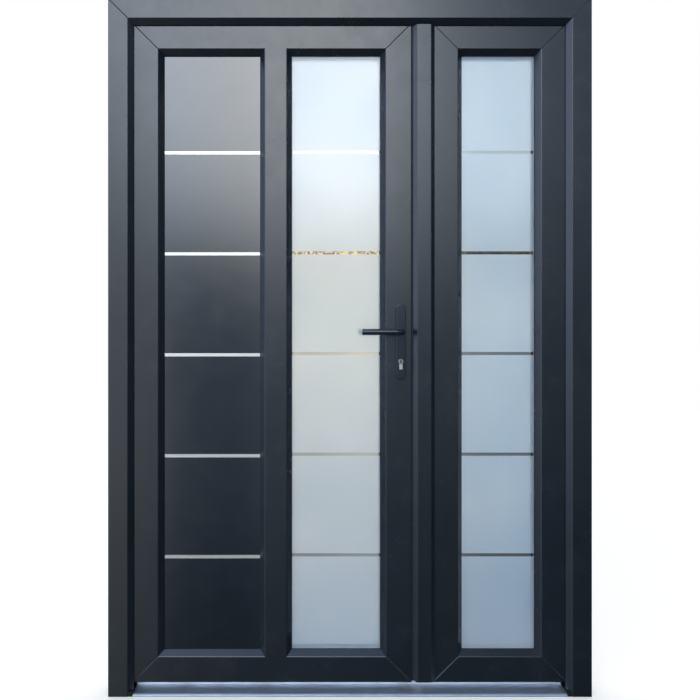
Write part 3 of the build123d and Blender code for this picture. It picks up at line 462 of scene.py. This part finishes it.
def spangle_group():
    """Hot dip zinc: pale and dull crystals side by side."""
    tree, given, out = finish_group("zinc_spangle", [("Roughness", "Float", 0.4)])
    crystals = cells(tree, given["Vector"], 140.0)
    flake = fade(tree, crystals["Color"], 0.0, 1.0)
    tone = mix_colour(tree, flake, (0.75, 0.76, 0.78), (1.15, 1.15, 1.16))
    join(tree, tinted(tree, given["Tone"], tone), out["Color"])
    join(tree, plus(tree, given["Roughness"], around_half(tree, flake, 0.2)), out["Roughness"])
    join(tree, crystals["Distance"], out["Height"])
    return tree


def frost_group():
    """Sandblasted glass: fine pits and faint wiping marks."""
    tree, given, out = finish_group("frosted_skin", [("Roughness", "Float", 0.6)])
    pits = noise(tree, given["Vector"], 1500.0, detail=2.0)
    marks = noise(tree, given["Vector"], 2.2, detail=3.0, roughness=0.55)
    tone = mix_colour(tree, fade(tree, marks, 0.3, 0.75), (0.96, 0.97, 0.975), (1.02, 1.01, 1.0))
    join(tree, tinted(tree, given["Tone"], tone), out["Color"])
    join(tree, plus(tree, given["Roughness"], around_half(tree, marks, 0.1)), out["Roughness"])
    join(tree, pits, out["Height"])
    return tree


GROUPS = {
    "satin_skin": satin_skin_group,
    "brushed_metal": brushed_metal_group,
    "zinc_spangle": spangle_group,
    "frosted_skin": frost_group,
}


def shared_group(name):
    return bpy.data.node_groups.get(name) or GROUPS[name]()


# Materials

COAT_RELIEF = 0.0002
FINE_RELIEF = 0.0001
# Noise scales across and along brushed lines
FINE = 900.0
LONG = 5.0
ALONG_X = (LONG, FINE, FINE)
ALONG_Y = (FINE, LONG * 8, FINE)
ALONG_Z = (FINE, FINE, LONG * 4)


def surface_material(name, group, tone, bump, relief_height, given, sockets):
    """A material with colour, roughness and bump from a shared group, and plain values on its shader."""
    material = bpy.data.materials.new(name)
    material.use_nodes = True
    tree = material.node_tree
    shader = tree.nodes["Principled BSDF"]
    place = node(tree, "ShaderNodeTexCoord")
    skin = node(tree, "ShaderNodeGroup")
    skin.node_tree = shared_group(group)
    join(tree, place.outputs["Object"], skin.inputs["Vector"])
    skin.inputs["Tone"].default_value = (*tone, 1.0)
    for label, value in given.items():
        skin.inputs[label].default_value = value
    join(tree, skin.outputs["Color"], shader.inputs["Base Color"])
    join(tree, skin.outputs["Roughness"], shader.inputs["Roughness"])
    relief = node(tree, "ShaderNodeBump")
    relief.inputs["Strength"].default_value = bump
    relief.inputs["Distance"].default_value = relief_height
    join(tree, skin.outputs["Height"], relief.inputs["Height"])
    join(tree, relief.outputs["Normal"], shader.inputs["Normal"])
    for label, value in sockets.items():
        shader.inputs[label].default_value = value
    return material


def coated(name, tone, roughness, grain, dust, bump, **sockets):
    dust_tone = (*finishes().dust, 1.0)
    given = {"Roughness": roughness, "Grain Scale": grain, "Dust Amount": dust, "Dust": dust_tone}
    return surface_material(name, "satin_skin", tone, bump, COAT_RELIEF, given, sockets)


def metal(name, tone, roughness, stretch, stain):
    given = {"Roughness": roughness, "Stretch": stretch, "Stain": stain}
    return surface_material(name, "brushed_metal", tone, 0.15, FINE_RELIEF, given, {"Metallic": 1.0})


def galvanised(name, tone):
    given = {"Roughness": 0.42}
    return surface_material(name, "zinc_spangle", tone, 0.1, FINE_RELIEF, given, {"Metallic": 1.0})


def glazing(name, tone, roughness, bump, transmission, bend):
    sockets = {"Transmission Weight": transmission, "IOR": bend}
    return surface_material(name, "frosted_skin", tone, bump, FINE_RELIEF, {"Roughness": roughness}, sockets)


def make_materials():
    """One material for each slot of the record."""
    look = finishes()
    table = {
        "anthracite_profile": (
            coated, look.profile, look.profile_roughness,
            {"grain": FINE, "dust": 0.12, "bump": 0.03, "Specular IOR Level": 1.0},
        ),
        "anthracite_panel": (
            coated, look.panel, look.panel_roughness,
            {"grain": FINE, "dust": 0.12, "bump": 0.04, "Specular IOR Level": 1.0, "Coat Weight": 1.0,
             "Coat IOR": 1.55, "Coat Roughness": 0.1},
        ),
        "black_seal": (coated, look.rubber, 0.6, {"grain": 700.0, "dust": 0.3, "bump": 0.3}),
        "black_plastic": (coated, look.moulded, 0.45, {"grain": 500.0, "dust": 0.3, "bump": 0.3}),
        "brush": (coated, look.pile, 0.7, {"grain": 700.0, "dust": 0.5, "bump": 0.3}),
        "foam": (coated, look.foam, 0.85, {"grain": 300.0, "dust": 0.0, "bump": 0.8}),
        "stainless_strip": (metal, look.strip, 0.4, {"stretch": ALONG_X, "stain": 0.1}),
        "lock_steel": (metal, look.steel, 0.36, {"stretch": ALONG_Z, "stain": 0.2}),
        "sill_aluminium": (metal, look.sill, 0.5, {"stretch": ALONG_X, "stain": 0.3}),
        "spacer_aluminium": (metal, look.steel, 0.4, {"stretch": ALONG_X, "stain": 0.1}),
        "nickel": (metal, look.nickel, 0.4, {"stretch": ALONG_Y, "stain": 0.15}),
        "handle_coat": (
            coated, look.handle, 0.2, {"grain": 1400.0, "dust": 0.06, "bump": 0.03, "Specular IOR Level": 0.8}
        ),
        "hinge_coat": (coated, look.hinge, 0.4, {"grain": 1100.0, "dust": 0.1, "bump": 0.1}),
        "clear_glass": (glazing, look.glass, 0.0, {"bump": 0.0, "transmission": 1.0, "bend": 1.5}),
        "frosted_glass": (glazing, look.frost, 0.42, {"bump": 0.2, "transmission": 0.75, "bend": 1.2}),
    }
    made = {"galvanised_steel": galvanised("galvanised_steel", look.zinc)}
    for slot, (maker, tone, roughness, values) in table.items():
        made[slot] = maker(slot, tone, roughness, **values)
    return made


MATERIALS = {}


def dress(target, slot):
    """Give a mesh one material and nothing else."""
    target.data.materials.clear()
    target.data.materials.append(MATERIALS[slot])


# Mesh helpers

FLAT = 0.9


def select_only(*objects):
    """Select these alone, the last of them active."""
    bpy.ops.object.select_all(action="DESELECT")
    for item in objects:
        item.select_set(True)
    bpy.context.view_layer.objects.active = objects[-1]


def select_ends(piece, both=False):
    """Select, in edit mode, the upper end of a standing piece, or both of its ends."""
    bpy.ops.object.mode_set(mode="EDIT")
    bpy.ops.mesh.select_mode(type="FACE")
    bpy.ops.mesh.select_all(action="DESELECT")
    bpy.ops.object.mode_set(mode="OBJECT")
    for face in piece.data.polygons:
        rise = abs(face.normal.z) if both else face.normal.z
        face.select = rise > FLAT
    bpy.ops.object.mode_set(mode="EDIT")


def sink(depth):
    """Extrude the selected faces downwards."""
    bpy.ops.mesh.extrude_region_move(TRANSFORM_OT_translate={"value": (0, 0, -depth)})


def object_mode():
    bpy.ops.object.mode_set(mode="OBJECT")


def apply_place(piece):
    select_only(piece)
    bpy.ops.object.transform_apply(location=True, rotation=True, scale=True)


def stand(piece, place, direction):
    """Turn a piece's mesh from +Z to a direction and set it at its place."""
    turn = Vector(direction).to_track_quat("Z", "Y").to_matrix().to_4x4()
    piece.data.transform(Matrix.Translation(place) @ turn)


def settle(piece, name, slot, body):
    """Name a finished piece, put its place into its mesh, dress it and let it ride on its body."""
    apply_place(piece)
    piece.name = piece.data.name = name
    dress(piece, slot)
    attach(piece, body)


def bevel(piece, width, segments, angle=30.0):
    modifier = piece.modifiers.new("edges", "BEVEL")
    modifier.width, modifier.segments = width, segments
    modifier.limit_method, modifier.angle_limit = "ANGLE", math.radians(angle)
    select_only(piece)
    bpy.ops.object.modifier_apply(modifier=modifier.name)


def smooth(piece, angle=35.0):
    select_only(piece)
    bpy.ops.object.shade_smooth_by_angle(angle=math.radians(angle))


def cylinder(radius, depth, height, vertices):
    """A standing cylinder with its middle at a height on the Z axis."""
    bpy.ops.object.select_all(action="DESELECT")
    bpy.ops.mesh.primitive_cylinder_add(
        vertices=vertices, radius=radius, depth=depth, location=(0, 0, height)
    )
    return bpy.context.active_object


def ring(inner, outer, height, vertices, edge, segments):
    """A flat ring with rounded edges, standing on the origin."""
    piece = cylinder(outer, height, height / 2, vertices)
    select_ends(piece, both=True)
    bpy.ops.mesh.inset(thickness=outer - inner)
    bpy.ops.mesh.bridge_edge_loops()
    object_mode()
    bevel(piece, edge, segments)
    smooth(piece)
    apply_place(piece)
    return piece


def block(low, high):
    """A block between two corners."""
    low, high = Vector(low), Vector(high)
    bpy.ops.object.select_all(action="DESELECT")
    bpy.ops.mesh.primitive_cube_add(size=1.0, location=middle((low, high)))
    piece = bpy.context.active_object
    piece.scale = high - low
    bpy.ops.object.transform_apply(location=False, rotation=False, scale=True)
    return piece


def copies(master, stem, places, direction, slot, body):
    """Copies of a finished master, each with its own mesh, turned to a direction and set at its place."""
    for number, place in enumerate(places, 1):
        piece = master.copy()
        piece.data = master.data.copy()
        bpy.context.scene.collection.objects.link(piece)
        stand(piece, place, direction)
        settle(piece, f"{stem}_{number:02d}", slot, body)


def screw_master():
    """A countersunk head with a chamfered rim and a round socket, facing +Z at the origin."""
    sizes = hardware()
    radius, rise = sizes.screw_radius, sizes.screw_rise
    depth = 3 * rise
    chamfer, crown = radius * 0.12, rise * 0.35
    land, socket = radius * 0.42, 2.2 * rise
    piece = cylinder(radius, depth, rise - depth / 2, 24)
    select_ends(piece)
    bpy.ops.mesh.inset(thickness=chamfer)
    bpy.ops.transform.translate(value=(0, 0, crown))
    bpy.ops.mesh.inset(thickness=land)
    sink(socket)
    object_mode()
    bpy.ops.object.transform_apply(location=True, rotation=True, scale=True)
    smooth(piece)
    return piece


class DOOR_OT_stage(bpy.types.Operator):
    """Pale floor, soft studio surroundings and the camera"""

    bl_idname = "door.stage"
    bl_label = "Floor, light and camera"

    def execute(self, context):
        self.floor()
        self.surroundings(context.scene)
        self.camera(context.scene)
        self.soft_light()
        context.scene.view_settings.view_transform = "Standard"
        return {"FINISHED"}

    def floor(self):
        """A pale floor that glows a little and that the door neither mirrors nor gets light from."""
        settings = stage()
        bpy.ops.object.select_all(action="DESELECT")
        bpy.ops.mesh.primitive_plane_add(size=2 * settings.floor_half)
        plane = bpy.context.active_object
        plane.name = "floor"
        material = bpy.data.materials.new("pale_floor")
        material.use_nodes = True
        tree = material.node_tree
        place = node(tree, "ShaderNodeTexCoord")
        cloud = noise(tree, place.outputs["Object"], 1.5, detail=3.0)
        tone = tuple(settings.floor)
        dull = tuple(0.97 * c for c in tone)
        shader = tree.nodes["Principled BSDF"]
        join(tree, mix_colour(tree, cloud, dull, tone), shader.inputs["Base Color"])
        shader.inputs["Roughness"].default_value = 0.9
        shader.inputs["Emission Color"].default_value = (*WHITE, 1.0)
        shader.inputs["Emission Strength"].default_value = 0.3
        plane.data.materials.append(material)
        plane.visible_glossy = False
        plane.visible_diffuse = False
        plane.visible_transmission = False

    def soft_light(self):
        """A large soft lamp high up in front, to the left."""
        settings = stage()
        bpy.ops.object.select_all(action="DESELECT")
        place = Vector(settings.lamp_place)
        aim = Vector((0.0, 0.0, 1.0))
        bpy.ops.object.light_add(type="AREA", location=place)
        lamp = bpy.context.active_object
        lamp.name = "soft_lamp"
        lamp.rotation_euler = (aim - place).to_track_quat("-Z", "Y").to_euler()
        lamp.data.shape = "SQUARE"
        lamp.data.size = settings.lamp_size
        lamp.data.energy = settings.lamp_power
        lamp.visible_glossy = False
        lamp.visible_camera = False

    def camera(self, scene):
        """A level camera that is shifted so that uprights stay upright."""
        settings = stage()
        place = Vector(settings.camera_place)
        data = bpy.data.cameras.new("camera")
        data.lens = settings.lens
        view = bpy.data.objects.new("camera", data)
        scene.collection.objects.link(view)
        view.location = place
        view.rotation_euler = (math.pi / 2, 0, 0)
        width = (JAMB_FACE - place.y) * data.sensor_width / data.lens
        data.shift_x = (settings.picture_middle[0] - place.x) / width
        data.shift_y = (settings.picture_middle[1] - place.z) / width
        scene.camera = view

    def surroundings(self, scene):
        """White to the camera, a mirror map to satin surfaces, and its own light to matt ones and glass."""
        world = bpy.data.worlds.new("surroundings")
        scene.world = world
        world.use_nodes = True
        world.cycles.sampling_method = "NONE"
        tree = world.node_tree
        place = node(tree, "ShaderNodeTexCoord").outputs["Generated"]
        split = node(tree, "ShaderNodeSeparateXYZ")
        join(tree, place, split.inputs[0])
        x, y, z = split.outputs
        ray = node(tree, "ShaderNodeLightPath").outputs
        behind = math_node(tree, "GREATER_THAN", y, 0.0)
        reflected = times(tree, ray["Is Glossy Ray"], minus(tree, 1.0, ray["Is Transmission Ray"]))
        mirror = self.front_mirror(tree, x, z)
        spread = math_node(tree, "GREATER_THAN", ray["Diffuse Depth"], 0.5)
        inside_glass = mix_colour(tree, spread, tinted(tree, mirror, MIRROR_IN_GLASS), LIGHT_IN_GLASS)
        front = mix_colour(tree, fade(tree, z, *FRONT_FADE), *FRONT_TINTS)
        lit = mix_colour(tree, ray["Is Transmission Ray"], front, inside_glass)
        ambient = mix_colour(tree, behind, lit, self.indoor_light(tree, x, z, ray, place))
        far_behind = math_node(tree, "GREATER_THAN", y, MIRRORED_INDOORS)
        indoor_mirror = mix_colour(tree, fade(tree, z, *INDOOR_FADE), *INDOOR_TINTS)
        mirrored = mix_colour(tree, far_behind, mirror, indoor_mirror)
        light = mix_colour(tree, reflected, ambient, mirrored)
        light = mix_colour(tree, ray["Is Camera Ray"], light, WHITE)
        join(tree, light, tree.nodes["Background"].inputs["Color"])

    def indoor_light(self, tree, x, z, ray, place):
        """What shines from indoors: white on the door's back, and through its glass the plain indoors."""
        seen = self.through_clear_glass(tree, x, z, place)
        main = mix_colour(tree, fade(tree, z, *BLOOM_FOOT), BLOOM_TINTS[0], BLOOM_TINTS[1])
        main = mix_colour(tree, fade(tree, z, *BLOOM_TOP), main, BLOOM_TINTS[2])
        narrow = mix_colour(tree, fade(tree, z, *BLOOM_NARROW), *NARROW_BLOOM_TINTS)
        bloom = mix_colour(tree, fade(tree, x, *BLOOM_ACROSS), main, narrow)
        frosted = math_node(tree, "GREATER_THAN", ray["Transmission Depth"], FROSTED_DEPTH)
        seen = mix_colour(tree, frosted, seen, added(tree, seen, bloom))
        return mix_colour(tree, ray["Is Transmission Ray"], WHITE, seen)

    def through_clear_glass(self, tree, x, z, place):
        """Dim towards the door's foot and the narrow leaf, warm in the middle, with a speckled band."""
        across = mix_colour(tree, fade(tree, z, *EVENER_HIGH_UP), curve(tree, x, INDOOR_ACROSS), WHITE)
        share = times(tree, curve(tree, z, INDOOR_HEIGHTS, smooth=True), across)
        warm = mix_colour(tree, fade(tree, z, *WARM_FADE), FOOT_TINT, WARM_TINT)
        warm = mix_colour(tree, fade(tree, z, *NEUTRAL_FADE), warm, WHITE)
        warm = mix_colour(tree, fade(tree, x, *NARROW_LEAF), warm, NARROW_TINT)
        seen = tinted(tree, warm, grey(tree, share))
        stone = noise(tree, place, 260.0, detail=2.0, roughness=0.7)
        gold = mix_colour(tree, fade(tree, stone, 0.4, 0.6), *GOLD_TINTS)
        gold = tinted(tree, gold, grey(tree, fade(tree, x, *GOLD_DIMS)))
        band = times(tree, fade(tree, z, *BAND_FOOT), fade(tree, z, *BAND_TOP))
        return mix_colour(tree, band, seen, gold)

    def front_mirror(self, tree, x, z):
        """What satin surfaces show outdoors: bright high up in the middle, dim low down and beside it."""
        light = added(tree, self.upper_light(tree, x, z), self.lower_light(tree, x, z))
        sides = times(tree, curve(tree, x, SIDES_ACROSS, smooth=True), curve(tree, z, SIDES_HEIGHTS))
        return added(tree, light, tinted(tree, SIDES_TINT, grey(tree, sides)))

    def upper_light(self, tree, x, z):
        height = z
        for lean, slope in UPPER_SLOPES:
            past = math_node(tree, "MAXIMUM", minus(tree, lean, x), 0.0)
            height = minus(tree, height, times(tree, past, slope))
        share = times(
            tree, curve(tree, height, UPPER_HEIGHTS, smooth=True), curve(tree, x, UPPER_ACROSS, smooth=True)
        )
        share = times(tree, share, fade(tree, plus(tree, x, z), *CORNER_FADE))
        off_centre = fade(tree, math_node(tree, "ABSOLUTE", minus(tree, x, CENTRE)), *OFF_CENTRE)
        tint = mix_colour(tree, off_centre, *UPPER_TINTS)
        tint = mix_colour(tree, fade(tree, z, *ZENITH), tint, ZENITH_TINT)
        return tinted(tree, tint, grey(tree, share))

    def lower_light(self, tree, x, z):
        reach = fade(tree, z, *LOWER_REACH, smooth=False)
        right = math_node(tree, "MAXIMUM", minus(tree, x, LOWER_START), 0.0)
        decay = math_node(tree, "EXPONENT", times(tree, math_node(tree, "DIVIDE", right, reach), -1.0))
        share = times(tree, curve(tree, z, LOWER_HEIGHTS), decay)
        share = times(tree, share, fade(tree, x, *LEFT_FADE))
        from_shade = math_node(tree, "ABSOLUTE", minus(tree, x, DOOR_SHADE_MIDDLE))
        share = times(tree, share, fade(tree, from_shade, *DOOR_SHADE))
        tint = mix_colour(tree, fade(tree, x, *LOWER_TURN), *LOWER_TINTS)
        return tinted(tree, tint, grey(tree, share))


class DOOR_OT_finishes(bpy.types.Operator):
    """A procedural material on every part of the frame, leaves, glass and lock"""

    bl_idname = "door.finishes"
    bl_label = "Surface finishes"

    def execute(self, context):
        MATERIALS.update(make_materials())
        for name, part in frame["nodes"].items():
            dress(part, SLOTS[name])
        return {"FINISHED"}


class DOOR_OT_lever_collars(bpy.types.Operator):
    """Rings where the levers meet their plates, and the small screw under each neck"""

    bl_idname = "door.lever_collars"
    bl_label = "Lever collars"

    def execute(self, context):
        for side, outward, face in (("outer", -1, OUTER_PLATE[0].y), ("inner", 1, INNER_PLATE[1].y)):
            self.collar(side, outward, face)
            self.grub_screw(side, outward, face)
        return {"FINISHED"}

    def collar(self, side, outward, face):
        sizes = hardware()
        piece = ring(NECK_RADIUS, sizes.collar_radius, sizes.collar_height, 64, 0.0007, 3)
        stand(piece, (SPINDLE.x, face, SPINDLE.z), (0, outward, 0))
        settle(piece, f"{side}_lever_collar", "handle_coat", "main_leaf")

    def grub_screw(self, side, outward, face):
        piece = cylinder(GRUB_RADIUS, GRUB_DEPTH, 0, 20)
        select_ends(piece)
        bpy.ops.mesh.inset(thickness=GRUB_SOCKET)
        sink(GRUB_SOCKET)
        object_mode()
        smooth(piece)
        neck = (LEVER[1].z - LEVER[0].z) / 2
        stand(piece, (SPINDLE.x, face + outward * GRUB_OUT, SPINDLE.z - neck + GRUB_SINK), (0, 0, -1))
        settle(piece, f"{side}_lever_grub_screw", "lock_steel", "lever_set")


class DOOR_OT_cylinder_trim(bpy.types.Operator):
    """A bright rim on each end of the plug, a dark disc round each keyhole as painted shade for the shaded
    keyway, and a dark ring around the plug as painted shade for the plate's recess
    """

    bl_idname = "door.cylinder_trim"
    bl_label = "Cylinder trim"

    def execute(self, context):
        sizes = hardware()
        rim = ("plug_rim", sizes.rim_inner, sizes.rim_outer, "nickel", "plug")
        # Painted shade: the key guide disc stands in for the shaded keyway, and the rose ring stands in for
        # the shade of the plate's recess around the cylinder.
        keyway_shade = ("key_guide", sizes.keyway_shade_inner, sizes.keyway_shade_outer, "black_plastic", "plug")
        recess_shade = ("cylinder_rose", sizes.recess_shade_inner, sizes.recess_shade_outer, "black_plastic", "main_leaf")
        for side, outward, plug_face, body_face in (
            ("outer", -1, PLUG[0].y, CYLINDER[0].y), ("inner", 1, PLUG[1].y, CYLINDER[1].y)
        ):
            for face, (name, *sort) in ((plug_face, rim), (plug_face, keyway_shade), (body_face, recess_shade)):
                self.trim(f"{side}_{name}", outward, face, *sort)
        return {"FINISHED"}

    def trim(self, name, outward, face, inner, outer, slot, body):
        piece = ring(inner, outer, TRIM_HEIGHT, 48, 0.00022, 2)
        stand(piece, (middle(PLUG).x, face, PLUG_AXIS), (0, outward, 0))
        settle(piece, name, slot, body)


class DOOR_OT_lock_screws(bpy.types.Operator):
    """Countersunk screws of the faceplate, keeps and hinge plates"""

    bl_idname = "door.lock_screws"
    bl_label = "Lock and hinge screws"

    def execute(self, context):
        master = screw_master()
        self.faceplate(master)
        self.keeps(master)
        self.hinges(master)
        bpy.data.objects.remove(master)
        return {"FINISHED"}

    def faceplate(self, master):
        places = [(FACEPLATE[1].x, middle(FACEPLATE).y, z) for z in FACEPLATE_SCREWS]
        copies(master, "faceplate_screw", places, (1, 0, 0), "lock_steel", "main_leaf")

    def keeps(self, master):
        places = [(KEEPS[0].x, middle(KEEPS).y, z) for z in KEEP_SCREWS]
        copies(master, "keep_screw", places, (-1, 0, 0), "lock_steel", "side_leaf")

    def hinges(self, master):
        wing = HINGE_PLATES[1].x - WING_INSET
        for side, sign in (("left", -1), ("right", 1)):
            places = [(sign * wing, WING_FACE, z + step) for z in HINGE_HEIGHTS for step in WING_STEPS]
            copies(master, f"{side}_wing_screw", places, (0, 1, 0), "hinge_coat", "frame")
        for side, sign in (("main", -1), ("side", 1)):
            places = [
                (sign * x, STRAP_FACE, z + step)
                for z in HINGE_HEIGHTS for x in STRAP_PLACES for step in STRAP_STEPS
            ]
            copies(master, f"{side}_strap_screw", places, (0, 1, 0), "hinge_coat", f"{side}_leaf")


class DOOR_OT_hinge_caps(bpy.types.Operator):
    """Dished caps on the upper and lower ends of the hinge pins"""

    bl_idname = "door.hinge_caps"
    bl_label = "Hinge caps"

    def execute(self, context):
        low, high = HINGE_PINS
        master = self.cap()
        depth = middle(HINGE_PINS).y
        half_pin = HINGE_HEIGHTS[0] - low.z
        for side, x in (("left", low.x + PIN_HEAD_RADIUS), ("right", high.x - PIN_HEAD_RADIUS)):
            for end, direction in (("upper", 1), ("lower", -1)):
                places = [(x, depth, z + direction * half_pin) for z in HINGE_HEIGHTS]
                copies(master, f"{side}_{end}_hinge_cap", places, (0, 0, direction), "hinge_coat", "frame")
        bpy.data.objects.remove(master)
        return {"FINISHED"}

    def cap(self):
        sizes = hardware()
        radius, height = sizes.cap_radius, sizes.cap_height
        rim, dish, edge = radius * 0.55, height * 0.4, height * 0.35
        master = cylinder(radius, height, height / 2, 40)
        select_ends(master)
        bpy.ops.mesh.inset(thickness=rim)
        sink(dish)
        object_mode()
        bevel(master, edge, 3, 50.0)
        smooth(master, 50.0)
        apply_place(master)
        return master


class DOOR_OT_brushes(bpy.types.Operator):
    """Rows of bristles in their holders under both leaves"""

    bl_idname = "door.brushes"
    bl_label = "Bottom brushes"

    def execute(self, context):
        for side in ("main", "side"):
            self.brush(side, f"{side}_bottom_brush")
        return {"FINISHED"}

    def brush(self, side, part):
        sizes = hardware()
        low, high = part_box(part)
        holder_foot = high.z - HOLDER_HEIGHT
        holder = block((low.x, low.y, holder_foot), high)
        bevel(holder, 0.0006, 2)
        pitch = sizes.bristle_pitch
        in_row = int((high.x - low.x) / pitch) - 1
        between_rows = (high.y - low.y) / (sizes.bristle_rows + 1)
        root = holder_foot + BRISTLE_ROOT
        bpy.ops.object.select_all(action="DESELECT")
        bpy.ops.mesh.primitive_cone_add(
            vertices=5, radius1=BRISTLE_TIP_RADIUS, radius2=BRISTLE_ROOT_RADIUS, depth=root - low.z,
            location=(low.x + pitch, low.y + between_rows, (low.z + root) / 2),
        )
        bristle = bpy.context.active_object
        bpy.ops.object.transform_apply(location=True, rotation=True, scale=True)
        for amount, offset in (
            (in_row, (pitch, 0.0, 0.0)), (sizes.bristle_rows, (pitch * 0.25, between_rows, 0.0))
        ):
            rows = bristle.modifiers.new("rows", "ARRAY")
            rows.count, rows.use_relative_offset, rows.use_constant_offset = amount, False, True
            rows.constant_offset_displace = offset
            bpy.ops.object.modifier_apply(modifier=rows.name)
        select_only(bristle, holder)
        bpy.ops.object.join()
        piece = bpy.context.active_object
        settle(piece, f"{side}_brush_bristles", "brush", f"{side}_leaf")
        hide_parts(part)


PIECES = (
    DOOR_OT_finishes, DOOR_OT_lever_collars, DOOR_OT_cylinder_trim, DOOR_OT_lock_screws, DOOR_OT_hinge_caps,
    DOOR_OT_brushes, DOOR_OT_stage,
)


class DOOR_PT_panel(bpy.types.Panel):
    """Lists the door's settings and steps in the sidebar"""

    bl_idname = "DOOR_PT_panel"
    bl_label = "Entrance door"
    bl_space_type = "VIEW_3D"
    bl_region_type = "UI"
    bl_category = "Door"

    def draw(self, context):
        for settings in (finishes(), hardware(), stage()):
            box = self.layout.box()
            for name in settings.__annotations__:
                box.prop(settings, name)
        for operator in PIECES:
            self.layout.operator(operator.bl_idname)


CLASSES = (DoorFinishes, DoorHardware, DoorStage, *PIECES, DOOR_PT_panel)


def register():
    for item in CLASSES:
        bpy.utils.register_class(item)
    bpy.types.Scene.door_finishes = PointerProperty(type=DoorFinishes)
    bpy.types.Scene.door_hardware = PointerProperty(type=DoorHardware)
    bpy.types.Scene.door_stage = PointerProperty(type=DoorStage)


def unregister():
    del bpy.types.Scene.door_stage
    del bpy.types.Scene.door_hardware
    del bpy.types.Scene.door_finishes
    for item in reversed(CLASSES):
        bpy.utils.unregister_class(item)


def main():
    register()
    bpy.ops.door.finishes()
    bpy.ops.door.lever_collars()
    bpy.ops.door.cylinder_trim()
    bpy.ops.door.lock_screws()
    bpy.ops.door.hinge_caps()
    bpy.ops.door.brushes()
    bpy.ops.door.stage()
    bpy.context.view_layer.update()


if __name__ == "__main__":
    main()
